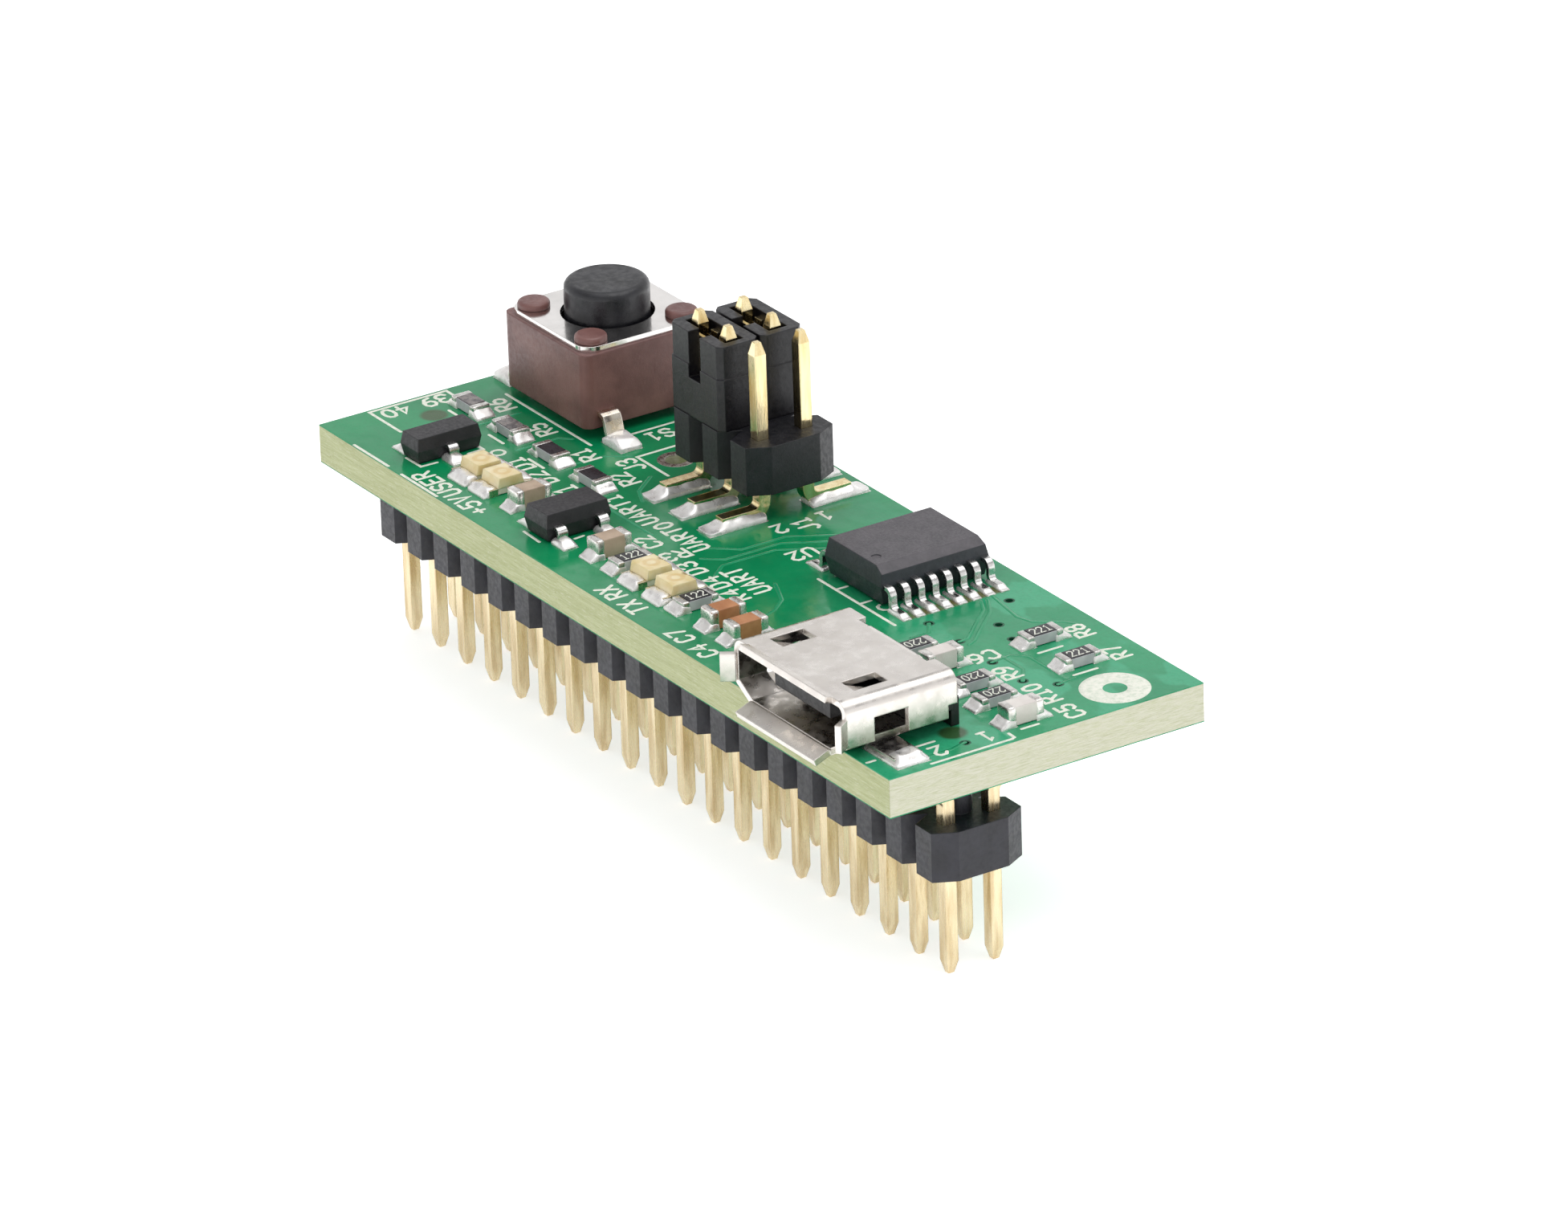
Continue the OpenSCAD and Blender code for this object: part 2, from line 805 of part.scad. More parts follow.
// Gull-wing lead towards +X: root inside the body, two round bends, flat foot
module gull_profile(root, face, exit_z, thick, toe, bend) {
  outer = bend + thick;
  square_from(root, face, exit_z - thick / 2, exit_z + thick / 2);
  translate([face, exit_z + thick / 2 - outer]) intersection() {
    difference() {
      circle(r = outer);
      circle(r = bend);
    }
    square([outer, outer]);
  }
  square_from(face + bend, face + outer, outer, exit_z + thick / 2 - outer);
  translate([face + bend + outer, outer]) intersection() {
    difference() {
      circle(r = outer);
      circle(r = bend);
    }
    translate([-outer, -outer]) square([outer, outer]);
  }
  square_from(face + bend + outer, toe, 0, thick);
}

module gull_lead(root, face, exit_z, thick, toe, width, bend = 0.1) {
  slice_y(width) gull_profile(root, face, exit_z, thick, toe, bend);
}

module chip_leads_all() {
  for (s = [0, 1], i = [0:chip_leads - 1]) {
    rotate([0, 0, 180 * s]) translate([0, column_x(i, chip_leads, chip_pitch), 0])
      gull_lead(chip_width / 2 - 0.35, chip_width / 2 + 0.14, 0.86, 0.18, 3.05, 0.28, 0.18);
  }
}

module chip_body() {
  color("#4a484e")
  translate([chip_x, chip_y, board_top]) difference() {
    moulded_body(chip_width, chip_length, 0.12, 1.6, 0.14);
    chip_leads_all();
    translate([0.75, -chip_length / 2 + 0.58, 1.57]) cylinder(h = 1, r = 0.2);
    // Sloped edge along the first row of leads
    slice_y(chip_length + 2) polygon([[1.42, 1.61], [1.42, 1.6], [1.86, 1.36], [3, 1.36], [3, 1.61]]);
  }
}

module chip_lead_frame() {
  color("#d8d8d8") translate([chip_x, chip_y, board_top]) chip_leads_all();
}

module chip_solder() {
  color("#c9c7c0")
  translate([chip_x, chip_y, board_top])
  for (s = [0, 1], i = [0:chip_leads - 1]) {
    rotate([0, 0, 180 * s]) translate([3.05, column_x(i, chip_leads, chip_pitch), 0])
      end_fillet(0.32, 0.18);
  }
}

module regulator_lead_set() {
  for (s = [-1, 1]) {
    translate([0, s * 0.95, 0]) gull_lead(0.5, 0.95, 0.6, 0.16, 1.42, 0.42);
  }
  for (i = [-1, 0, 1]) {
    rotate([0, 0, 180]) translate([0, i * 0.95, 0])
      gull_lead(0.5, 0.95, 0.6, 0.16, 1.42, 0.42);
  }
}

module regulator_body() {
  color("#47464c")
  translate([regulator_place[0], regulator_place[1], board_top]) difference() {
    moulded_body(1.65, 2.9, 0.06, 1.15, 0.1);
    regulator_lead_set();
  }
}

module regulator_leads() {
  color("#dedede")
  translate([regulator_place[0], regulator_place[1], board_top]) regulator_lead_set();
}

module transistor_lead_set() {
  gull_lead(0.35, 0.78, 0.55, 0.14, 1.2, 0.42);
  for (s = [-1, 1]) {
    rotate([0, 0, 180]) translate([0, s * 0.95, 0])
      gull_lead(0.35, 0.78, 0.55, 0.14, 1.2, 0.42);
  }
}

module transistor_body() {
  color("#3f3e44")
  translate([transistor_place[0], transistor_place[1], board_top]) difference() {
    moulded_body(1.32, 2.9, 0.05, 1.05, 0.09);
    transistor_lead_set();
  }
}

module transistor_leads() {
  color("#dedede")
  translate([transistor_place[0], transistor_place[1], board_top]) transistor_lead_set();
}

module small_package_solder() {
  color("#d4d4d6") {
    translate([regulator_place[0], regulator_place[1], board_top]) {
      for (s = [-1, 1]) {
        translate([1.42, s * 0.95, 0]) end_fillet(0.6, 0.24);
      }
      for (i = [-1, 0, 1]) {
        translate([-1.42, i * 0.95, 0]) rotate([0, 0, 180]) end_fillet(0.55, 0.24);
      }
    }
    translate([transistor_place[0], transistor_place[1], board_top]) {
      translate([1.2, 0, 0]) end_fillet(0.7, 0.24);
      for (s = [-1, 1]) {
        translate([-1.2, s * 0.95, 0]) rotate([0, 0, 180]) end_fillet(0.7, 0.24);
      }
    }
  }
}

// ---------- two-ended chips ----------

end_length = 0.3;
end_skin = 0.03;

// Tinned cap round one end of a chip, looking along +X
module end_cap(length, width, height, wrap) {
  difference() {
    box(length / 2 - wrap, length / 2, -width / 2, width / 2, 0, height);
    box(0, length / 2 - end_skin, -width / 2 + end_skin, width / 2 - end_skin,
        end_skin, height - end_skin);
  }
}

module both_ends(length, width, height, wrap) {
  for (a = [0, 180]) {
    rotate([0, 0, a]) end_cap(length, width, height, wrap);
  }
}

module chip_core(length, width, height) {
  box(-length / 2 + end_skin, length / 2 - end_skin, -width / 2 + end_skin,
      width / 2 - end_skin, end_skin, height - end_skin);
}

module resistor_bodies() {
  color("#c9c9cb")
  at_places(resistor_places, board_top) chip_core(small_length, small_width, resistor_height);
}

module resistor_films() {
  color("#2d2b33")
  at_places(resistor_places, board_top)
    box(-small_length / 2 + end_length, small_length / 2 - end_length, -small_width / 2 + 0.06,
        small_width / 2 - 0.06, resistor_height - end_skin, resistor_height + 0.005);
}

module resistor_ends() {
  color("#dcdad6")
  at_places(resistor_places, board_top)
    both_ends(small_length, small_width, resistor_height, end_length);
}

module brown_capacitors() {
  color("#b98a66")
  at_places(brown_places, board_top) chip_core(small_length, small_width, capacitor_height);
}

module grey_capacitors() {
  color("#b9b0a8")
  at_places(grey_places, board_top) chip_core(small_length, small_width, capacitor_height);
}

module capacitor_ends() {
  color("#cfcbc6")
  at_places(concat(brown_places, grey_places), board_top)
    both_ends(small_length, small_width, capacitor_height, 0.36);
}

lamp_base_height = 0.3;

module lamp_bases() {
  color("#ece6d2")
  at_places(lamp_places, board_top) chip_core(lamp_length, lamp_width, lamp_base_height);
}

module lamp_terminals() {
  color("#dcd6c4")
  at_places(lamp_places, board_top)
    both_ends(lamp_length, lamp_width, lamp_base_height, 0.4);
}

module lamp_lenses() {
  color("#efe2bf")
  at_places(lamp_places, board_top)
    translate([0, 0, lamp_base_height - end_skin]) slice_y(lamp_width - 0.02) polygon([
      [-lamp_length / 2 + 0.4, 0], [lamp_length / 2 - 0.4, 0],
      [lamp_length / 2 - 0.5, 0.42], [-lamp_length / 2 + 0.5, 0.42]
    ]);
}

module small_chip_solder() {
  color("#d6d6d8") {
    at_places(concat(resistor_places, brown_places, grey_places), board_top)
      for (a = [0, 180]) {
        rotate([0, 0, a]) translate([small_length / 2, 0, 0]) end_fillet(0.8, 0.3);
      }
    at_places(lamp_places, board_top)
      for (a = [0, 180]) {
        rotate([0, 0, a]) translate([lamp_length / 2, 0, 0]) end_fillet(1.1, 0.2);
      }
  }
}

// ---------- what is drawn ----------

board_core();
solder_mask();
copper_pads();
via_barrels();
plated_holes();
header_block();
header_pins();
header_solder();
jumper_block();
jumper_posts();
jumper_solder();
jumper_cap_a();
jumper_clip_a();
jumper_cap_b();
jumper_clip_b();
usb_shell();
usb_insulator();
usb_contacts();
usb_solder();
switch_base();
switch_terminals();
switch_dome();
switch_button();
switch_cover();
switch_solder();
chip_body();
chip_lead_frame();
chip_solder();
regulator_body();
regulator_leads();
transistor_body();
transistor_leads();
small_package_solder();
resistor_bodies();
resistor_films();
resistor_ends();
brown_capacitors();
grey_capacitors();
capacitor_ends();
lamp_bases();
lamp_terminals();
lamp_lenses();
small_chip_solder();
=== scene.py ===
import math
import bmesh
import bpy
from mathutils import Matrix, Vector, noise


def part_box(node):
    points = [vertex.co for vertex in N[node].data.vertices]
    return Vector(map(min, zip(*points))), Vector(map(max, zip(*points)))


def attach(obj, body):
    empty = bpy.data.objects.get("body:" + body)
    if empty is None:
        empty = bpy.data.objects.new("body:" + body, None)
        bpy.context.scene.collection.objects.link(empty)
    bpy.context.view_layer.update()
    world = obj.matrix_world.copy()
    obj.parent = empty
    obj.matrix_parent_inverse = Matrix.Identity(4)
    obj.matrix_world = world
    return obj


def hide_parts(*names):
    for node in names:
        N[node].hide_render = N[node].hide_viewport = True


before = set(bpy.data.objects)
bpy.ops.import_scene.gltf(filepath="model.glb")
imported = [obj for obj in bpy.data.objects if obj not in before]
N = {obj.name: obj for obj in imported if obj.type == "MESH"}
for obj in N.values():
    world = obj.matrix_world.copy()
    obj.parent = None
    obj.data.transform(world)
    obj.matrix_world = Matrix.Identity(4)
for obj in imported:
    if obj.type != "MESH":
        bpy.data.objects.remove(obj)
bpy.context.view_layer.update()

scene = bpy.context.scene
MM = 0.001

# Upper and lower face of the lacquered board, in millimetres
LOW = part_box("solder_mask")[0].z / MM
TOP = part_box("solder_mask")[1].z / MM
# From the header's end to the middle of its locating peg, in millimetres
PEG_INSET = 1.75


# ---------------------------------------------------------------- colours and node helpers

def lin(r, g, b):
    """An sRGB colour, 0 to 255, as linear values."""
    out = []
    for c in (r, g, b):
        c /= 255
        out.append(c / 12.92 if c <= 0.04045 else ((c + 0.055) / 1.055) ** 2.4)
    return (*out, 1.0)


class Paint:
    """A procedural material on object coordinates, scaled so that 1 unit is a millimetre."""

    def __init__(self, name, rough=0.5, metal=0.0, specular=0.5):
        self.mat = bpy.data.materials.new(name)
        self.mat.use_nodes = True
        self.nt = self.mat.node_tree
        self.nt.nodes.clear()
        self.out = self.node("ShaderNodeOutputMaterial")
        self.bsdf = self.node("ShaderNodeBsdfPrincipled")
        self.link(self.bsdf.outputs[0], self.out.inputs["Surface"])
        self.bsdf.inputs["Roughness"].default_value = rough
        self.bsdf.inputs["Metallic"].default_value = metal
        self.bsdf.inputs["IOR"].default_value = 1.5
        self.bsdf.inputs["Specular IOR Level"].default_value = specular
        coord = self.node("ShaderNodeTexCoord")
        scale = self.node("ShaderNodeMapping")
        scale.inputs["Scale"].default_value = (1 / MM, 1 / MM, 1 / MM)
        self.link(coord.outputs["Object"], scale.inputs["Vector"])
        self.p = scale.outputs[0]
        self.last_normal = None

    def node(self, kind, **values):
        n = self.nt.nodes.new(kind)
        for k, v in values.items():
            setattr(n, k, v)
        return n

    def link(self, a, b):
        self.nt.links.new(a, b)

    def feed(self, socket, value):
        if isinstance(value, bpy.types.NodeSocket):
            self.link(value, socket)
        else:
            socket.default_value = value

    def stretched(self, x, y, z):
        m = self.node("ShaderNodeMapping")
        m.inputs["Scale"].default_value = (x, y, z)
        self.link(self.p, m.inputs["Vector"])
        return m.outputs[0]

    def noise(self, scale, detail=3.0, rough=0.5, warp=0.0, at=None):
        n = self.node("ShaderNodeTexNoise")
        n.inputs["Scale"].default_value = scale
        n.inputs["Detail"].default_value = detail
        n.inputs["Roughness"].default_value = rough
        n.inputs["Distortion"].default_value = warp
        self.link(at or self.p, n.inputs["Vector"])
        return n.outputs["Fac"]

    def axis(self, which):
        s = self.node("ShaderNodeSeparateXYZ")
        self.link(self.p, s.inputs[0])
        return s.outputs[which]

    def facing(self, which):
        """The surface normal's share along X, Y or Z."""
        g = self.node("ShaderNodeNewGeometry")
        s = self.node("ShaderNodeSeparateXYZ")
        self.link(g.outputs["Normal"], s.inputs[0])
        return s.outputs[which]

    def math(self, op, a, b=0.0, clamp=False):
        n = self.node("ShaderNodeMath", operation=op, use_clamp=clamp)
        self.feed(n.inputs[0], a)
        self.feed(n.inputs[1], b)
        return n.outputs[0]

    def times(self, a, b):
        return self.math("MULTIPLY", a, b)

    def distance(self, which, middle):
        """How far along X, Y or Z a point is from the middle."""
        return self.math("ABSOLUTE", self.math("SUBTRACT", self.axis(which), middle))

    def fade(self, value, low, high, to_low=0.0, to_high=1.0):
        n = self.node("ShaderNodeMapRange", interpolation_type="SMOOTHSTEP")
        self.feed(n.inputs["Value"], value)
        for k, v in (("From Min", low), ("From Max", high), ("To Min", to_low), ("To Max", to_high)):
            n.inputs[k].default_value = v
        return n.outputs[0]

    def mix(self, factor, a, b, blend="MIX"):
        n = self.node("ShaderNodeMix", data_type="RGBA", blend_type=blend)
        self.feed(n.inputs["Factor"], factor)
        self.feed(n.inputs[6], a)
        self.feed(n.inputs[7], b)
        return n.outputs[2]

    def spot(self, x, y, radius, soft, squash=1.0):
        """1 inside a round spot on the board's plan, fading to 0 over soft."""
        dx = self.math("SUBTRACT", self.axis("X"), x)
        dy = self.times(self.math("SUBTRACT", self.axis("Y"), y), squash)
        d = self.math("SQRT", self.math("ADD", self.times(dx, dx), self.times(dy, dy)))
        return self.fade(d, radius, radius + soft, 1.0, 0.0)

    def colour(self, value):
        self.feed(self.bsdf.inputs["Base Color"], value)

    def rough(self, value):
        self.feed(self.bsdf.inputs["Roughness"], value)

    def edge(self, radius):
        """Rounds the look of hard edges, radius in millimetres."""
        n = self.node("ShaderNodeBevel", samples=6)
        n.inputs["Radius"].default_value = radius * MM
        self.last_normal = n.outputs[0]
        self.link(self.last_normal, self.bsdf.inputs["Normal"])
        return self

    def bump(self, height, depth, strength=1.0):
        """depth is the height of the relief in millimetres."""
        n = self.node("ShaderNodeBump")
        n.inputs["Strength"].default_value = strength
        n.inputs["Distance"].default_value = depth * MM
        self.link(height, n.inputs["Height"])
        if self.last_normal:
            self.link(self.last_normal, n.inputs["Normal"])
        self.last_normal = n.outputs[0]
        self.link(self.last_normal, self.bsdf.inputs["Normal"])
        return self


# ---------------------------------------------------------------- materials

def plastic(name, dark, light, rough=0.42, grain=9.0, grain_depth=0.006, edge=0.05, scale=1.2):
    """Moulded plastic: slow tone changes and two sizes of grain."""
    p = Paint(name, rough=rough)
    p.colour(p.mix(p.fade(p.noise(scale, 4), 0.3, 0.7), lin(*dark), lin(*light)))
    p.rough(p.fade(p.noise(grain * 0.6, 3), 0.3, 0.7, rough - 0.08, rough + 0.1))
    p.edge(edge)
    p.bump(p.noise(grain, 4, 0.6), grain_depth)
    p.bump(p.noise(grain * 4, 2, 0.6), grain_depth * 0.4)
    return p


def metal(name, base, shade, rough=0.25, edge=0.04, grain=2.0, depth=0.004, stain=None):
    """Plated or tinned metal: uneven tone and sheen, with stains where asked for."""
    p = Paint(name, rough=rough, metal=1.0)
    tone = p.mix(p.fade(p.noise(grain, 4), 0.3, 0.7), lin(*base), lin(*shade))
    if stain:
        tone = p.mix(p.fade(p.noise(grain * 0.8, 5, 0.7, 0.6), 0.55, 0.75), tone, lin(*stain))
    p.colour(tone)
    p.rough(p.fade(p.noise(grain * 3, 4), 0.25, 0.75, rough * 0.6, rough * 1.5))
    p.edge(edge)
    p.bump(p.noise(grain * 2.5, 5, 0.6), depth)
    return p


def solder(name, base=(246, 244, 242), shade=(226, 223, 220), rough=0.3, share=0.72):
    """Bright solder. A share below 1 keeps it pale where only dark plastic is mirrored."""
    p = Paint(name, rough=rough, metal=share)
    tone = p.mix(p.fade(p.noise(2.5, 4, 0.55), 0.35, 0.7), lin(*base), lin(*shade))
    p.colour(tone)
    p.rough(p.fade(p.noise(3, 2), 0.3, 0.7, rough * 0.7, rough * 1.5))
    p.edge(0.08)
    p.bump(p.noise(1.7, 1, 0.4, 0.4), 0.016)
    p.bump(p.noise(9, 2, 0.5), 0.0007)
    return p


def lacquer():
    """Green lacquer, uneven in tone, with a gentle swell where it pooled."""
    p = Paint("green_lacquer", rough=0.16, specular=0.36)
    slow = p.fade(p.noise(0.22, 3), 0.3, 0.7)
    tone = p.mix(slow, lin(6, 126, 78), lin(10, 143, 88))
    # Painted glare: the lacquer is painted paler towards the far +X +Y end, in patches
    glare_patches = p.fade(p.noise(0.35, 2, 0.4, at=p.stretched(1, 1.6, 1)), 0.5, 0.56)
    glare_towards_far_end = p.fade(p.math("ADD", p.axis("X"), p.times(p.axis("Y"), 0.9)), 3.0, 19.0)
    pale = p.times(glare_towards_far_end, p.math("ADD", p.times(glare_patches, 0.5), 0.35))
    tone = p.mix(pale, tone, lin(58, 168, 124))
    tone = p.mix(p.times(p.fade(p.noise(7, 3), 0.4, 0.8), 0.2), tone, lin(4, 108, 66))
    # The header's two locating pegs show through as olive spots
    header = Box(*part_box("header_block"))
    for x in (header.lo.x + PEG_INSET, header.hi.x - PEG_INSET):
        peg = p.spot(x, header.mid.y - 0.1, 0.42, 0.25)
        tone = p.mix(p.times(peg, 0.85), tone, lin(52, 66, 22))
    # Flux left between the chip's toes
    toes = Box(*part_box("chip_lead_frame"))
    half, soft = toes.size.y / 2, 0.1
    for x in (toes.lo.x, toes.hi.x):
        across = p.fade(p.distance("X", x), 0.2, 0.42, 1.0, 0.0)
        along = p.fade(p.distance("Y", toes.mid.y), half - soft, half + soft, 1.0, 0.0)
        stain = p.times(p.times(across, along), p.fade(p.noise(3.5, 3), 0.25, 0.6, 0.45, 0.95))
        tone = p.mix(stain, tone, lin(92, 84, 40))
    p.colour(tone)
    p.rough(p.fade(p.noise(1.6, 3), 0.3, 0.7, 0.1, 0.26))
    p.edge(0.03)
    p.bump(p.noise(0.9, 3, 0.5), 0.012)
    p.bump(p.noise(12, 2, 0.5), 0.0015)
    return p


def laminate():
    """Bare glass-fibre edge: level layers of fibre in pale resin."""
    p = Paint("bare_laminate", rough=0.55, specular=0.4)
    long_way = p.stretched(0.35, 0.35, 7.0)
    weave = p.noise(1.6, 5, 0.65, at=long_way)
    tone = p.mix(p.fade(weave, 0.3, 0.7), lin(160, 166, 118), lin(180, 186, 142))
    fibres = p.noise(3.2, 6, 0.75, 0.3, at=p.stretched(0.6, 0.6, 9.0))
    tone = p.mix(p.times(p.fade(fibres, 0.52, 0.66), 0.75), tone, lin(208, 210, 186))
    pits = p.noise(9, 2, at=p.stretched(0.5, 0.5, 4.0))
    tone = p.mix(p.fade(pits, 0.64, 0.74), tone, lin(134, 134, 84))
    # The cut short end is frosted, with paler glass bundles
    frost = p.times(p.fade(p.facing("X"), 0.5, 0.9), p.fade(fibres, 0.35, 0.6, 0.35, 0.9))
    tone = p.mix(frost, tone, lin(206, 205, 188))
    p.colour(tone)
    p.edge(0.05)
    p.bump(weave, 0.02)
    p.bump(p.noise(16, 3, 0.6, at=p.stretched(0.6, 0.6, 2.0)), 0.01)
    return p


def gold(name, base=(232, 216, 180), shade=(204, 182, 142), rough=0.24):
    """Gold-plated wire, drawn along Z, with a few brown spots."""
    p = Paint(name, rough=rough, metal=1.0)
    along = p.stretched(3.0, 3.0, 0.35)
    tone = p.mix(p.fade(p.noise(1.2, 4, at=along), 0.35, 0.7), lin(*base), lin(*shade))
    tone = p.mix(p.times(p.fade(p.noise(3, 4, 0.7), 0.62, 0.78), 0.35), tone, lin(168, 128, 76))
    p.colour(tone)
    p.rough(p.fade(p.noise(5, 3, at=along), 0.3, 0.7, rough * 0.7, rough * 1.4))
    p.edge(0.06)
    p.bump(p.noise(6, 4, 0.6, at=along), 0.003)
    return p


def shell_plate():
    """Satin plate, with a painted green reflection low on the sides and painted shade on the downward faces
    deep in the mouth.
    """
    bright, dull = (234, 229, 223), (220, 214, 208)
    p = metal("socket_shell", bright, dull, 0.3, 0.07, grain=0.7, depth=0.0008)
    tone = p.mix(p.fade(p.noise(0.7, 4), 0.3, 0.7), lin(*bright), lin(*dull))
    # Painted reflection of the green board, in patches, on the lower side faces
    low = p.fade(p.axis("Z"), TOP + 0.5, TOP + 1.9, 1.0, 0.0)
    side = p.fade(p.math("ABSOLUTE", p.facing("X")), 0.5, 0.8)
    patchy = p.fade(p.noise(2.0, 3, 0.6), 0.2, 0.8, 0.4, 0.95)
    tone = p.mix(p.times(p.times(low, side), patchy), tone, lin(122, 146, 118))
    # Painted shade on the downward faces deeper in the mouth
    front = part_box("usb_shell")[0].y / MM
    deep = p.fade(p.axis("Y"), front + 0.5, front + 2.6)
    inner_shade = p.times(deep, p.fade(p.facing("Z"), -0.2, -0.7))
    p.colour(p.mix(p.times(inner_shade, 0.85), tone, lin(60, 56, 50)))
    return p


def chip_epoxy():
    """Laser-marked top painted lighter grey as painted light, over sides painted darker and bluer as painted
    shade.
    """
    p = plastic("chip_epoxy", (66, 63, 68), (78, 74, 79), 0.4, grain=14, grain_depth=0.006, edge=0.07)
    # Painted light and shade: upward faces get the lighter grey, side faces the darker, bluer tone
    top = p.mix(p.fade(p.noise(1.2, 4), 0.3, 0.7), lin(68, 65, 70), lin(80, 76, 81))
    side = p.mix(p.fade(p.noise(1.8, 4), 0.3, 0.7), lin(26, 31, 38), lin(38, 43, 51))
    p.colour(p.mix(p.fade(p.facing("Z"), 0.55, 0.9), side, top))
    return p


def capacitor_body():
    """Ceramic block: tan ones towards -X, redder brown ones towards +X."""
    p = plastic("capacitor_brown", (166, 116, 82), (190, 140, 102), 0.42, edge=0.06, scale=1.0)
    tan = p.mix(p.fade(p.noise(1.3, 4), 0.3, 0.7), lin(168, 146, 124), lin(190, 168, 146))
    brown = p.mix(p.fade(p.noise(1.3, 4), 0.3, 0.7), lin(172, 114, 74), lin(194, 136, 94))
    p.colour(p.mix(p.fade(p.axis("X"), -1.0, 1.0), tan, brown))
    return p


def film():
    """Glassy resistor film, worn pale on the two nearest -X."""
    p = plastic("resistor_film", (28, 26, 32), (42, 40, 46), 0.3, edge=0.02)
    black = p.mix(p.fade(p.noise(2.2, 4), 0.3, 0.7), lin(28, 26, 32), lin(44, 42, 48))
    worn = p.mix(p.fade(p.noise(3.5, 5, 0.65), 0.42, 0.6), lin(96, 90, 92), lin(150, 142, 138))
    p.colour(p.mix(p.times(p.fade(p.axis("X"), -12.8, -13.6), 0.75), black, worn))
    return p


def lens():
    """Cream resin with a faint ring over the lamp and a mark at its foot."""
    p = plastic("lamp_lens", (236, 222, 176), (242, 232, 198), 0.16, edge=0.08, scale=1.5)
    tone = p.mix(p.fade(p.noise(1.6, 4), 0.3, 0.7), lin(224, 203, 148), lin(238, 224, 184))
    for b in solids("lamp_lenses"):
        outer = p.spot(b.mid.x, b.mid.y, 0.3, 0.12)
        inner = p.spot(b.mid.x, b.mid.y, 0.12, 0.1)
        ring = p.math("SUBTRACT", outer, inner, True)
        tone = p.mix(p.times(ring, 0.42), tone, lin(206, 166, 84))
        mark = p.spot(b.mid.x - 0.1, b.mid.y + 0.62, 0.1, 0.16, 0.8)
        tone = p.mix(mark, tone, lin(140, 112, 62))
    p.colour(tone)
    p.bsdf.inputs["Subsurface Weight"].default_value = 0.25
    p.bsdf.inputs["Subsurface Radius"].default_value = (0.0006, 0.0005, 0.0003)
    p.bsdf.inputs["Subsurface Scale"].default_value = 0.6
    return p


# ---------------------------------------------------------------- mesh helpers, in millimetres

def piece(name, build, body, paint, smooth, replaces=()):
    """A mesh object from build(bm), riding on body, with edges sharp past smooth degrees.

    Sizes in build are millimetres.
    """
    bm = bmesh.new()
    build(bm)
    bmesh.ops.recalc_face_normals(bm, faces=bm.faces)
    me = bpy.data.meshes.new(name)
    bm.to_mesh(me)
    bm.free()
    me.transform(Matrix.Scale(MM, 4))
    me.shade_smooth()
    me.set_sharp_from_angle(angle=math.radians(smooth))
    me.materials.append(paint.mat)
    o = bpy.data.objects.new(name, me)
    scene.collection.objects.link(o)
    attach(o, body)
    if replaces:
        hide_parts(*replaces)
    return o


class Box:
    """Lowest and highest corner of one solid, in millimetres."""

    def __init__(self, lo, hi):
        self.lo, self.hi = Vector(lo) / MM, Vector(hi) / MM
        self.mid = (self.lo + self.hi) / 2
        self.size = self.hi - self.lo

    def overlaps(self, other, gap=0.0):
        return all(self.lo[k] < other.hi[k] + gap and other.lo[k] < self.hi[k] + gap for k in (0, 1))


def solids(node):
    """The boxes of a CAD node's separate solids."""
    bm = bmesh.new()
    bm.from_mesh(N[node].data)
    bmesh.ops.remove_doubles(bm, verts=bm.verts, dist=1e-7)
    bm.verts.ensure_lookup_table()
    seen, found = set(), []
    for v in bm.verts:
        if v.index in seen:
            continue
        stack, group = [v], []
        seen.add(v.index)
        while stack:
            a = stack.pop()
            group.append(a.co.copy())
            for e in a.link_edges:
                b = e.other_vert(a)
                if b.index not in seen:
                    seen.add(b.index)
                    stack.append(b)
        lowest = [min(c[k] for c in group) for k in range(3)]
        highest = [max(c[k] for c in group) for k in range(3)]
        found.append(Box(lowest, highest))
    bm.free()
    return sorted(found, key=lambda b: (round(b.mid.x, 3), round(b.mid.y, 3), round(b.mid.z, 3)))


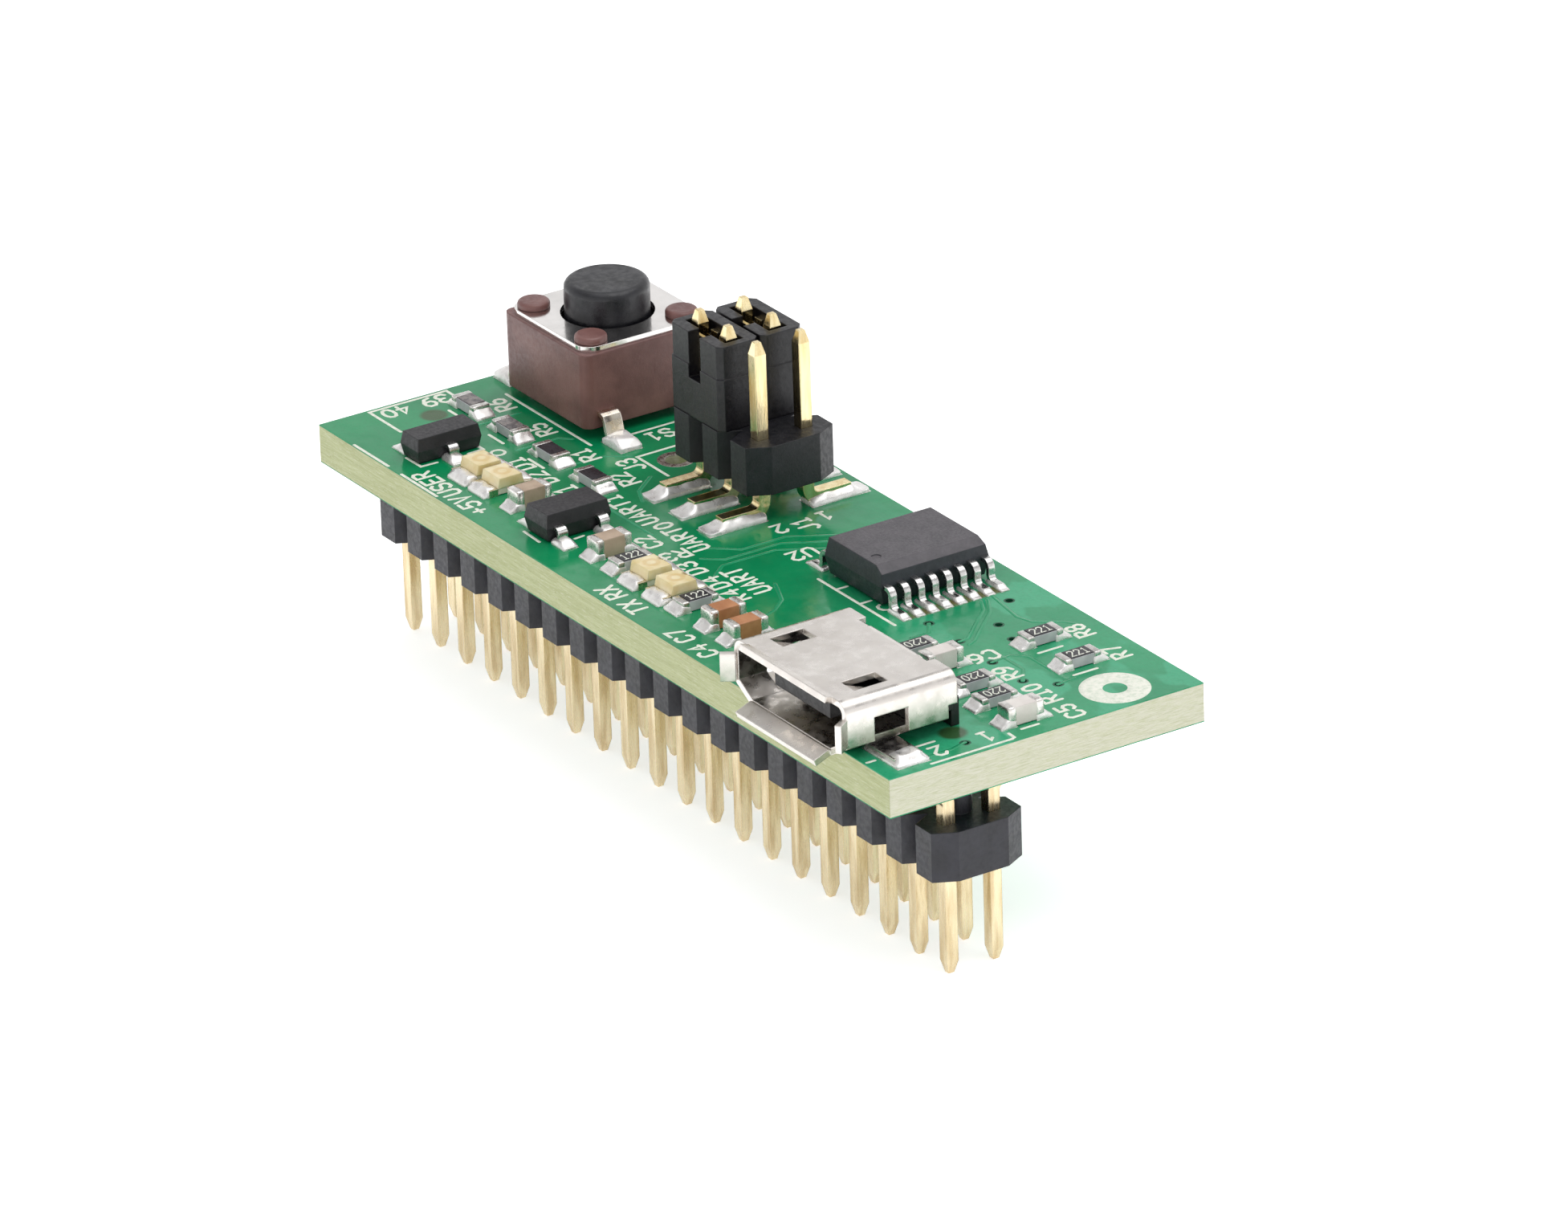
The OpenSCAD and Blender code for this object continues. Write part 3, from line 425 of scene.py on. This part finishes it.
PAINTS = {
    "board_core": laminate(),
    "solder_mask": lacquer(),
    "copper_pads": metal("tinned_pads", (242, 240, 236), (218, 215, 210), 0.32, 0.03,
                         grain=3.5, depth=0.006),
    # Via barrels: lacquer-lined, painted darker than the top lacquer as painted shade down the holes
    "via_barrels": plastic("via_lacquer_and_shade", (12, 74, 50), (18, 92, 62), 0.45, edge=0.02),
    "plated_holes": metal("tinned_rings", (216, 213, 205), (170, 166, 158), 0.3, grain=3.0, depth=0.006),
    "header_block": plastic("header_plastic", (23, 23, 30), (35, 35, 44), 0.42),
    "header_pins": gold("header_gold"),
    "header_solder": solder("header_solder"),
    "jumper_block": plastic("jumper_plastic", (15, 15, 20), (26, 26, 32), 0.45),
    "jumper_posts": gold("post_gold", (246, 230, 184), (228, 204, 150), 0.16),
    "jumper_solder": solder("jumper_solder", share=0.55),
    "jumper_cap_a": plastic("cap_plastic_a", (8, 7, 12), (17, 16, 23), 0.36, edge=0.07),
    "jumper_clip_a": metal("clip_metal_a", (216, 206, 178), (176, 160, 128), 0.22),
    "jumper_cap_b": plastic("cap_plastic_b", (8, 7, 12), (17, 16, 23), 0.36, edge=0.07),
    "jumper_clip_b": metal("clip_metal_b", (216, 206, 178), (176, 160, 128), 0.22),
    "usb_shell": shell_plate(),
    "usb_insulator": plastic("socket_plastic", (12, 12, 14), (20, 20, 23), 0.4),
    "usb_contacts": gold("contact_gold"),
    "usb_solder": solder("socket_solder"),
    "switch_base": plastic("switch_brown", (104, 68, 65), (125, 87, 82), 0.38, edge=0.08, scale=0.7),
    "switch_terminals": metal("switch_leads", (250, 246, 238), (238, 226, 206), 0.24, 0.05,
                              grain=1.0, depth=0.002, stain=(214, 186, 142)),
    "switch_dome": metal("dome_steel", (200, 204, 208), (170, 174, 180), 0.2),
    "switch_button": plastic("button_black", (22, 22, 26), (34, 34, 39), 0.38, grain=6, edge=0.06),
    "switch_cover": metal("cover_plate", (232, 229, 226), (220, 217, 214), 0.13, grain=0.8, depth=0.0008),
    "switch_solder": solder("switch_solder", share=0.35),
    "chip_body": chip_epoxy(),
    "chip_lead_frame": metal("chip_leads", (232, 231, 229), (206, 204, 202), 0.2, 0.05,
                             grain=4, depth=0.003),
    "chip_solder": solder("chip_solder"),
    "regulator_body": plastic("regulator_epoxy", (26, 25, 29), (38, 36, 40), 0.45, grain=12, edge=0.05),
    "regulator_leads": metal("regulator_leads", (234, 233, 231), (208, 206, 204), 0.2, 0.05,
                             grain=4, depth=0.003),
    "transistor_body": plastic("transistor_epoxy", (28, 27, 31), (40, 38, 42), 0.45, grain=12, edge=0.05),
    "transistor_leads": metal("transistor_leads", (234, 233, 231), (208, 206, 204), 0.2, 0.05,
                              grain=4, depth=0.003),
    "small_package_solder": solder("package_solder"),
    "resistor_bodies": plastic("resistor_ceramic", (176, 176, 180), (200, 200, 202), 0.5, edge=0.03),
    "resistor_films": film(),
    "resistor_ends": metal("resistor_tin", (230, 228, 224), (198, 194, 190), 0.28, 0.05,
                           grain=5, depth=0.006),
    "brown_capacitors": capacitor_body(),
    "grey_capacitors": plastic("capacitor_grey", (216, 208, 202), (230, 224, 218), 0.4, edge=0.06, scale=1.0),
    "capacitor_ends": metal("capacitor_tin", (240, 237, 233), (216, 212, 207), 0.3, 0.06,
                            grain=4, depth=0.006),
    "lamp_bases": plastic("lamp_resin", (220, 214, 196), (236, 230, 214), 0.4, edge=0.04),
    "lamp_terminals": metal("lamp_tin", (228, 220, 198), (196, 184, 158), 0.26, 0.05, grain=5, depth=0.006),
    "lamp_lenses": lens(),
    "small_chip_solder": solder("small_solder"),
}
for name, paint in PAINTS.items():
    o = N[name]
    o.data.materials.clear()
    o.data.materials.append(paint.mat)


def wobble(p, scale, amount):
    return noise.noise(Vector(p) * scale) * amount


# Half width and height of a stroke's cross-section, as shares
SECTION = ((-1, 0), (-0.72, 0.75), (0, 1), (0.72, 0.75), (1, 0))


def stroke(bm, path, width, height, z):
    """A raised line of ink or copper with rounded ends along a plan path."""
    pts = [Vector(p) for p in path]
    n = len(pts)
    dirs = [(pts[i + 1] - pts[i]).normalized() for i in range(n - 1)]
    rings = []

    def ring(at, across, share, lift):
        reach = across * share * width / 2
        rings.append([bm.verts.new((at.x + reach.x * u, at.y + reach.y * u, z + height * h * lift))
                      for u, h in SECTION])

    for i in range(n):
        if i == 0 or i == n - 1:
            d = dirs[0] if i == 0 else dirs[-1]
            side = -1 if i == 0 else 1
            across = Vector((-d.y, d.x))
            steps = [(0.0, 1.0, 1.0), (0.3, 0.8, 0.9), (0.46, 0.4, 0.5)]
            for k, share, lift in (reversed(steps) if i == 0 else steps):
                ring(pts[i] + d * side * k * width, across, share, lift)
        else:
            t = dirs[i - 1] + dirs[i]
            t = t.normalized() if t.length > 1e-6 else dirs[i]
            across = Vector((-t.y, t.x))
            grow = 1 / max(0.6, abs(t.dot(dirs[i])))
            ring(pts[i], across, grow, 1.0)
    for a, b in zip(rings, rings[1:]):
        for k in range(5):
            m = (k + 1) % 5
            bm.faces.new((a[k], a[m], b[m], b[k]))
    bm.faces.new(rings[0])
    bm.faces.new(list(reversed(rings[-1])))


def block(bm, lo, hi, r, rough, seed):
    """A box with rounded edges and a slightly uneven skin."""
    cuts = 3
    ticks = []
    for k in range(3):
        a, b = lo[k] + r, hi[k] - r
        inner = [a + (b - a) * i / cuts for i in range(cuts + 1)]
        ticks.append([lo[k], lo[k] + r * 0.35] + inner + [hi[k] - r * 0.35, hi[k]])
    size = len(ticks[0])
    verts = {}

    def vert(i, j, k):
        if (i, j, k) not in verts:
            p = Vector((ticks[0][i], ticks[1][j], ticks[2][k]))
            core = Vector([min(max(p[a], lo[a] + r), hi[a] - r) for a in range(3)])
            out = p - core
            if out.length > 1e-9:
                p = core + out.normalized() * r
            p += (p - (lo + hi) / 2).normalized() * wobble(p + Vector((seed, 0, 0)), 2.6, rough)
            verts[i, j, k] = bm.verts.new(p)
        return verts[i, j, k]

    m = size - 1
    for i in range(m):
        for j in range(m):
            for s in (0, m):
                corners = ((i, j), (i + 1, j), (i + 1, j + 1), (i, j + 1))
                bm.faces.new([vert(a, b, s) for a, b in corners])
                bm.faces.new([vert(a, s, b) for a, b in corners])
                bm.faces.new([vert(s, a, b) for a, b in corners])


def wetting(bm, pad, feet, z, film, climb, reach, step, up=1):
    """Solder that covers a pad and climbs each foot that stands on it.

    film is its thickness between feet, climb how much higher it stands at a foot, reach how far
    from the foot it has fallen to a third, and step the grid's spacing, all in millimetres.
    """
    x0, x1, y0, y1 = pad.lo.x, pad.hi.x, pad.lo.y, pad.hi.y
    for f in feet:
        x0, x1 = min(x0, max(x0 - 0.1, f.lo.x)), max(x1, min(x1 + 0.1, f.hi.x))
    nx, ny = max(6, round((x1 - x0) / step)), max(6, round((y1 - y0) / step))
    cx, cy, hx, hy = (x0 + x1) / 2, (y0 + y1) / 2, (x1 - x0) / 2, (y1 - y0) / 2
    grid = []
    for j in range(ny + 1):
        row = []
        for i in range(nx + 1):
            u, v = 2 * i / nx - 1, 2 * j / ny - 1
            u, v = math.sin(u * math.pi / 2), math.sin(v * math.pi / 2)
            x = cx + hx * u * math.sqrt(1 - 0.12 * v ** 4)
            y = cy + hy * v * math.sqrt(1 - 0.12 * u ** 4)
            rim = (1 - abs(u) ** 5) * (1 - abs(v) ** 5)
            h = film * (0.25 + 0.75 * rim)
            for f in feet:
                dx = max(f.lo.x - x, x - f.hi.x, 0)
                dy = max(f.lo.y - y, y - f.hi.y, 0)
                wet = math.exp(-(math.hypot(dx, dy) / reach) ** 1.3)
                h = max(h, film + climb * wet * (0.35 + 0.65 * rim ** 0.5))
            h *= 1 + wobble((x, y, 3.1), 2.2, 0.2)
            if i in (0, nx) or j in (0, ny):
                h = -0.01
            row.append(bm.verts.new((x, y, z + up * h)))
        grid.append(row)
    for j in range(ny):
        for i in range(nx):
            bm.faces.new((grid[j][i], grid[j][i + 1], grid[j + 1][i + 1], grid[j + 1][i]))
    rim = grid[0] + [r[-1] for r in grid[1:]] + grid[-1][-2::-1] + [r[0] for r in grid[-2:0:-1]]
    bm.faces.new(rim)


# ---------------------------------------------------------------- soldered joints

pads = solids("copper_pads")
top_pads = [p for p in pads if p.mid.z > (TOP + LOW) / 2]
low_pads = [p for p in pads if p.mid.z <= (TOP + LOW) / 2]


def foot(x0, x1, y0, y1):
    """Where a lead or a chip's end stands, as a flat box in millimetres."""
    return Box((x0 * MM, y0 * MM, TOP * MM), (x1 * MM, y1 * MM, TOP * MM))


def feet_of(*nodes):
    return [b for n in nodes for b in solids(n)]


def joints_piece(name, feet, node, film, climb, reach, step=0.07):
    """Solder on every top pad that one of the feet stands on."""
    def build(bm):
        for p in top_pads:
            if any(p.overlaps(f) for f in feet):
                near = [f for f in feet if p.overlaps(f, 0.4)]
                wetting(bm, p, near, TOP, film=film, climb=climb, reach=reach, step=step)
    return piece(name, build, "board", PAINTS[node], 60, (node,))


def switch_feet():
    """The 0.75 mm at each end of the bent strips, 0.8 mm wide."""
    strips = Box(*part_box("switch_terminals"))
    base = Box(*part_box("switch_base"))
    feet = []
    for p in top_pads:
        if p.overlaps(strips) and not p.overlaps(base):
            x0 = strips.lo.x if p.mid.x < strips.mid.x else strips.hi.x - 0.75
            feet.append(foot(x0, x0 + 0.75, p.mid.y - 0.4, p.mid.y + 0.4))
    return feet


def wing_feet():
    """The outer end of each side wing of the socket's shell, on its wide pad."""
    shell = Box(*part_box("usb_shell"))
    feet = []
    for p in top_pads:
        if p.size.x > 2 and p.overlaps(shell) and p.size.y < 1.6:
            x0 = p.hi.x - 0.85 if p.mid.x > shell.mid.x else p.lo.x + 0.3
            feet.append(foot(x0, x0 + 0.55, p.lo.y + 0.3, p.hi.y - 0.3))
    return feet


joints_piece("small_chip_fillets", feet_of("resistor_ends", "capacitor_ends", "lamp_terminals"),
             "small_chip_solder", 0.05, 0.3, 0.2)
joints_piece("chip_fillets", feet_of("chip_lead_frame"), "chip_solder", 0.04, 0.14, 0.1, 0.05)
joints_piece("package_fillets", feet_of("regulator_leads", "transistor_leads"),
             "small_package_solder", 0.05, 0.2, 0.16)
joints_piece("post_fillets", feet_of("jumper_posts"), "jumper_solder", 0.1, 0.3, 0.24)
joints_piece("switch_fillets", switch_feet(), "switch_solder", 0.13, 0.3, 0.26)
joints_piece("socket_fillets", feet_of("usb_contacts") + wing_feet(), "usb_solder", 0.07, 0.3, 0.22)


def header_joints(bm):
    pins = solids("header_pins")
    for p in low_pads:
        near = [b for b in pins if b.overlaps(p)]
        wetting(bm, p, near, LOW, up=-1, film=0.06, climb=0.24, reach=0.18, step=0.12)


piece("header_fillets", header_joints, "board", PAINTS["header_solder"], 60,
      ("header_solder",))


def tinned_ends(name, node, r, rough):
    """Rounded, slightly lumpy end caps in place of a node's plain ones."""
    def build(bm):
        for i, b in enumerate(solids(node)):
            block(bm, b.lo, b.hi, r, rough, i * 1.7)
    return piece(name, build, "board", PAINTS[node], 60, (node,))


tinned_ends("resistor_end_caps", "resistor_ends", 0.05, 0.02)
tinned_ends("capacitor_end_caps", "capacitor_ends", 0.09, 0.035)

# ---------------------------------------------------------------- printed legend

# How far ink and covered copper are sunk into the lacquer, and how high ink stands, in millimetres
SINK = 0.004
INK_HEIGHT = 0.02
# Middle of the plain ring printed by the corner
RING_PLACE = (18.62, 6.9)

# Stroke letters on a grid 4 wide and 6 tall
GLYPH_WIDE = 4
GLYPH_TALL = 6
GLYPHS = {
    "A": [[(0, 0), (2, 6), (4, 0)], [(0.8, 2), (3.2, 2)]],
    "C": [[(4, 5), (3, 6), (1, 6), (0, 5), (0, 1), (1, 0), (3, 0), (4, 1)]],
    "D": [[(0, 0), (0, 6), (2.4, 6), (3.7, 5), (4, 3), (3.7, 1), (2.4, 0), (0.2, 0)]],
    "E": [[(4, 6), (0, 6), (0, 0), (4, 0)], [(0, 3), (3, 3)]],
    "J": [[(3.6, 6), (3.6, 1.2), (2.5, 0), (1.1, 0), (0, 1)]],
    "R": [[(0, 0), (0, 6), (2.8, 6), (4, 5.2), (4, 3.9), (2.8, 3), (0.2, 3)], [(1.8, 3), (4, 0)]],
    "S": [[(4, 5), (3, 6), (1, 6), (0, 5), (0, 4), (1, 3.2),
           (3, 2.8), (4, 2), (4, 1), (3, 0), (1, 0), (0, 1)]],
    "T": [[(0, 6), (4, 6)], [(2, 6), (2, 0)]],
    "U": [[(0, 6), (0, 1.2), (1, 0), (3, 0), (4, 1.2), (4, 6)]],
    "V": [[(0, 6), (2, 0), (4, 6)]],
    "X": [[(0, 0), (4, 6)], [(0, 6), (4, 0)]],
    "+": [[(0.3, 3), (3.7, 3)], [(2, 1.3), (2, 4.7)]],
    "0": [[(2, 0), (0.8, 0.4), (0, 2), (0, 4), (0.8, 5.6), (2, 6),
           (3.2, 5.6), (4, 4), (4, 2), (3.2, 0.4), (2.1, 0)]],
    "1": [[(0.8, 4.8), (2.1, 6), (2.1, 0)], [(0.8, 0), (3.4, 0)]],
    "2": [[(0, 4.8), (1, 6), (3, 6), (4, 5), (4, 4), (0, 0), (4, 0)]],
    "3": [[(0, 5), (1, 6), (3, 6), (4, 5), (4, 4), (3, 3.1), (1.6, 3.1)],
          [(3, 3.1), (4, 2), (4, 1), (3, 0), (1, 0), (0, 1)]],
    "4": [[(3, 0), (3, 6), (0, 2), (4, 2)]],
    "5": [[(4, 6), (0.4, 6), (0.2, 3.4), (2.6, 3.7), (4, 2.7), (4, 1.2), (2.8, 0), (1, 0), (0, 1)]],
    "6": [[(3.6, 6), (1.6, 5.4), (0, 3), (0, 1.2), (1, 0), (3, 0),
           (4, 1.2), (4, 2.4), (3, 3.4), (1, 3.4), (0, 2.4)]],
    "7": [[(0, 6), (4, 6), (1.6, 0)]],
    "8": [[(1, 3.1), (0, 2), (0, 1), (1, 0), (3, 0), (4, 1), (4, 2), (3, 3.1), (1, 3.1), (0.2, 4),
           (0.2, 5.1), (1, 6), (3, 6), (3.8, 5.1), (3.8, 4), (3, 3.1)]],
    "9": [[(0.4, 0), (2.4, 0.6), (4, 3), (4, 4.8), (3, 6), (1, 6),
           (0, 4.8), (0, 3.6), (1, 2.6), (3, 2.6), (4, 3.6)]],
}


def legend(bm, text, x, y, tall, turn, z, wide=None, line=0.16, lift=INK_HEIGHT):
    """Stroke lettering with its middle at x, y, reading towards turn, in degrees from +X."""
    wide = wide or tall * 0.58
    pitch = wide + line + 0.08 * tall
    length = pitch * len(text) - (pitch - wide)
    c, s = math.cos(math.radians(turn)), math.sin(math.radians(turn))
    for k, letter in enumerate(text):
        for path in GLYPHS[letter]:
            placed = []
            for gx, gy in path:
                a = -length / 2 + k * pitch + gx / GLYPH_WIDE * wide
                b = (gy / GLYPH_TALL - 0.5) * tall
                placed.append((x + a * c - b * s, y + a * s + b * c))
            stroke(bm, placed, line, lift, z)


# Middle of each legend, its height, and where it reads to
LABELS = [
    ("+5V", -10.02, -3.52, 0.78, 180), ("USER", -12.5, -3.52, 0.78, 180),
    ("TX", 1.78, -3.53, 0.74, 180), ("RX", 0.15, -3.53, 0.74, 180), ("C7", 5.05, -3.55, 0.7, 180),
    ("C4", 6.68, -3.57, 0.7, 180), ("1", -9.07, 0.2, 0.88, 180), ("D2", -10.5, 0.05, 0.78, 180),
    ("D1", -12.17, 0.05, 0.78, 180), ("R2", -8.48, 2.57, 0.74, 180),
    ("R1", -11.36, 2.57, 0.74, 180), ("R5", -14.5, 2.53, 0.74, 180),
    ("R6", -17.52, 2.53, 0.74, 180), ("J3", -9.5, 3.5, 0.74, 180), ("S1", -11.3, 6.0, 0.74, 270),
    ("R4", 3.2, 0.1, 0.7, 180), ("D4", 1.77, 0.12, 0.74, 180), ("D3", 0.12, 0.1, 0.76, 180),
    ("C2", -2.92, 0.12, 0.68, 180), ("R3", -1.28, 0.28, 0.74, 270), ("UART", 2.33, 1.17, 0.76, 180),
    ("UART0", -2.6, 1.4, 0.72, 180), ("UART1", -5.9, 1.17, 0.74, 180),
    ("J1", -0.7, 5.83, 0.74, 180), ("2", -0.95, 4.82, 0.74, 270), ("1", -0.95, 6.86, 0.74, 270),
    ("U2", 1.55, 4.25, 0.76, 270), ("C5", 19.28, 4.43, 0.72, 180), ("R10", 17.38, 4.43, 0.72, 180),
    ("R9", 15.12, 4.43, 0.72, 180), ("C6", 13.4, 4.55, 0.76, 270), ("R7", 16.05, 8.72, 0.7, 180),
    ("R8", 13.65, 8.72, 0.7, 180), ("2", 19.22, -1.38, 0.76, 270), ("1", 19.25, 0.7, 0.76, 270),
    ("40", -19.45, -1.1, 0.76, 270), ("39", -19.45, 0.72, 0.76, 270),
]
RULES = [
    [(-12.05, 3.27), (-18.31, 3.27)], [(-12.0, 5.14), (-12.0, 7.24)],
    [(-7.75, 4.1), (-10.0, 4.1), (-10.06, 8.6), (-7.9, 8.6)],
    [(9.08, 3.45), (3.84, 3.45)], [(5.05, 3.45), (5.05, 3.95)], [(6.68, 3.45), (6.68, 3.95)],
    [(7.2, 4.0), (7.3, 3.85), (7.5, 3.8), (7.66, 3.86), (7.76, 4.0)],
    [(-15.35, -3.14), (-14.28, -3.12), (-14.26, -2.42)], [(-14.24, -0.98), (-14.26, -0.3), (-14.85, -0.3)],
    [(-6.63, -3.17), (-5.45, -3.22)], [(-4.89, -1.97), (-4.93, -1.57)],
    [(-11.3, 0.62), (-12.38, 0.62)], [(-14.26, 0.62), (-15.3, 0.62)], [(-17.76, 0.62), (-18.3, 0.62)],
    [(-17.65, -2.0), (-20.02, -2.0), (-20.02, 1.55), (-19.45, 1.55)],
    [(20.0, -2.2), (20.0, 1.35), (19.93, 1.5), (19.55, 1.52)],
    [(18.52, -4.05), (18.52, -3.72)], [(18.45, -1.95), (18.45, -1.07)], [(19.5, 2.12), (19.5, 2.85)],
    [(16.78, 6.32), (16.78, 7.35)], [(14.38, 6.37), (14.38, 7.42)],
    [(-11.5, -4.12), (-14.1, -4.12)], [(-15.1, -4.12), (-17.65, -4.12)],
]


def ink_rules(bm):
    for path in RULES:
        stroke(bm, path, 0.15, INK_HEIGHT, TOP - SINK)
    turns = [a * math.pi / 8 for a in range(17)]
    ring = [(-13.62 + 0.26 * math.cos(t), -0.02 + 0.28 * math.sin(t)) for t in turns]
    stroke(bm, ring, 0.14, INK_HEIGHT, TOP - SINK)


def ink_labels(bm):
    for text, x, y, tall, turn in LABELS:
        legend(bm, text, x, y, tall, turn, TOP - SINK)


def ink_disc(bm):
    """A plain ring, where the real board has a printed mark."""
    x, y = RING_PLACE
    steps = 64
    turns = [2 * math.pi * a / steps for a in range(steps)]
    rows = []
    for r, h in ((0.46, 0), (0.48, 1), (0.8, 1), (1.1, 1), (1.33, 1), (1.36, 0)):
        z = TOP - SINK + INK_HEIGHT * h
        rows.append([bm.verts.new((x + r * math.cos(t), y + r * math.sin(t), z)) for t in turns])
    rows.append(rows[0])
    for a, b in zip(rows, rows[1:]):
        for k in range(steps):
            m = (k + 1) % steps
            bm.faces.new((a[k], a[m], b[m], b[k]))


ink = Paint("legend_ink", rough=0.6)
ink.colour(ink.mix(ink.fade(ink.noise(6, 4, 0.6), 0.35, 0.75), lin(238, 238, 226), lin(206, 216, 198)))
ink.bump(ink.noise(14, 3, 0.6), 0.004)
piece("legend_rules", ink_rules, "board", ink, 50)
piece("legend_labels", ink_labels, "board", ink, 50)
piece("legend_ring", ink_disc, "board", ink, 50)


def film_codes(bm):
    """Three-digit values on the larger resistors' films."""
    for b in solids("resistor_films"):
        if b.size.y <= b.size.x:
            continue
        code, turn = "122", 90
        if b.mid.y > 5:
            code = "221"
        elif b.mid.x > 9:
            code, turn = "220", 270
        legend(bm, code, b.mid.x, b.mid.y, 0.46, turn, b.hi.z - 0.002, wide=0.2, line=0.06, lift=0.008)


piece("film_codes", film_codes, "board", ink, 50)

# ---------------------------------------------------------------- copper under the lacquer

TRACES = [
    [(9.2, 7.55), (10.2, 7.0), (12.0, 5.1), (12.2, 4.7)],
    [(9.2, 7.25), (9.9, 6.9), (11.7, 5.0), (11.75, 4.58)],
    [(8.9, 7.9), (11.2, 7.55), (11.9, 7.75), (12.6, 8.7), (13.0, 8.95)],
    [(14.0, 4.52), (13.9, 5.4), (14.4, 5.9), (15.9, 5.9)], [(9.71, 4.56), (10.4, 4.1), (10.4, 3.3)],
    [(17.08, 5.41), (17.0, 6.2)], [(16.06, 4.51), (15.2, 5.1), (13.6, 5.1)],
    [(2.9, 5.9), (1.6, 5.2), (0.6, 3.6), (0.6, 1.2), (1.2, 0.5)],
    [(2.9, 6.6), (1.1, 5.6), (0.2, 4.1), (0.2, 1.6), (-0.4, 0.9)],
    [(2.9, 7.2), (0.8, 6.2), (-0.2, 4.6), (-0.2, 2.6), (-1.3, 1.4)],
    [(5.6, -0.4), (5.2, 0.6), (4.6, 1.3), (3.2, 1.9)], [(-8.1, 3.5), (-7.2, 2.4), (-6.3, 2.0)],
    [(-10.2, 4.0), (-10.9, 3.0), (-10.9, 1.5)], [(-13.4, 0.7), (-13.4, 2.6), (-13.0, 3.0)],
    [(-16.4, 0.7), (-16.4, 2.7)], [(-7.6, 0.4), (-6.9, 0.6), (-3.4, 0.6)],
    [(19.2, -0.2), (19.4, -0.9), (19.4, -3.4)],
]


def copper_lines(bm):
    for path in TRACES:
        stroke(bm, path, 0.2, 0.009, TOP - SINK)


trace = Paint("lacquer_over_copper", rough=0.18)
slow = trace.fade(trace.noise(0.8, 3), 0.3, 0.7)
trace.colour(trace.mix(slow, lin(20, 142, 94), lin(40, 156, 108)))
trace.edge(0.03)
trace.bump(trace.noise(12, 2, 0.5), 0.0015)
piece("covered_traces", copper_lines, "board", trace, 60)


# ---------------------------------------------------------------- stage, light and camera

def sheet_mesh(name, half, z):
    me = bpy.data.meshes.new(name)
    corners = [(-half, -half, z), (half, -half, z), (half, half, z), (-half, half, z)]
    me.from_pydata(corners, [], [(0, 1, 2, 3)])
    o = bpy.data.objects.new(name, me)
    scene.collection.objects.link(o)
    return o


# The floor lies just under the pin tips, in metres
floor = sheet_mesh("studio_floor", 1.5, -0.00002)
fp = Paint("studio_paper", rough=0.9)
fp.colour(fp.mix(fp.fade(fp.noise(0.05, 2), 0.3, 0.7), lin(246, 246, 246), lin(250, 250, 250)))
fp.bsdf.inputs["Emission Color"].default_value = (1, 1, 1, 1)
fp.bsdf.inputs["Emission Strength"].default_value = 0.55
floor.data.materials.append(fp.mat)

world = bpy.data.worlds.new("studio")
scene.world = world
world.use_nodes = True
wt = world.node_tree
bg = wt.nodes["Background"]
bg.inputs["Strength"].default_value = 1.0
sky = wt.nodes.new("ShaderNodeTexCoord")
split = wt.nodes.new("ShaderNodeSeparateXYZ")
wt.links.new(sky.outputs["Generated"], split.inputs[0])
# Pale round the horizon and below, dimmer overhead, so that metal shows some contrast
ramp = wt.nodes.new("ShaderNodeValToRGB")
ramp.color_ramp.elements[0].position = 0.0
ramp.color_ramp.elements[0].color = (1, 1, 1, 1)
ramp.color_ramp.elements[1].position = 1.0
ramp.color_ramp.elements[1].color = (0.8, 0.8, 0.81, 1)
for at, level in ((0.45, 1.0), (0.56, 0.5), (0.75, 0.55)):
    e = ramp.color_ramp.elements.new(at)
    e.color = (level, level, level * 1.01, 1)
wt.links.new(split.outputs["Z"], ramp.inputs[0])
wt.links.new(ramp.outputs[0], bg.inputs["Color"])


def area(name, place, aim, size, power, colour=(1, 1, 1)):
    data = bpy.data.lights.new(name, "AREA")
    data.shape = "RECTANGLE"
    data.size, data.size_y = size
    data.energy = power
    data.color = colour
    o = bpy.data.objects.new(name, data)
    scene.collection.objects.link(o)
    o.location = place
    o.rotation_euler = (Vector(aim) - Vector(place)).to_track_quat("-Z", "Y").to_euler()
    return o


area("overhead", (0.05, 0.12, 0.55), (0, 0, 0), (0.6, 0.5), 1.6)

# The photo's viewpoint in metres, its turn in degrees and its lens in millimetres
CAMERA_PLACE = (0.333464, -0.206856, 0.186409)
CAMERA_TURN = (65.4627, 1.7053, 56.8794)
CAMERA_LENS = 260.02
camera = bpy.data.objects.new("camera", bpy.data.cameras.new("camera"))
scene.collection.objects.link(camera)
camera.data.lens = CAMERA_LENS
camera.data.sensor_width = 36
camera.data.clip_start = 0.02
camera.data.clip_end = 20
camera.location = CAMERA_PLACE
camera.rotation_euler = [math.radians(a) for a in CAMERA_TURN]
scene.camera = camera
scene.view_settings.view_transform = "Standard"
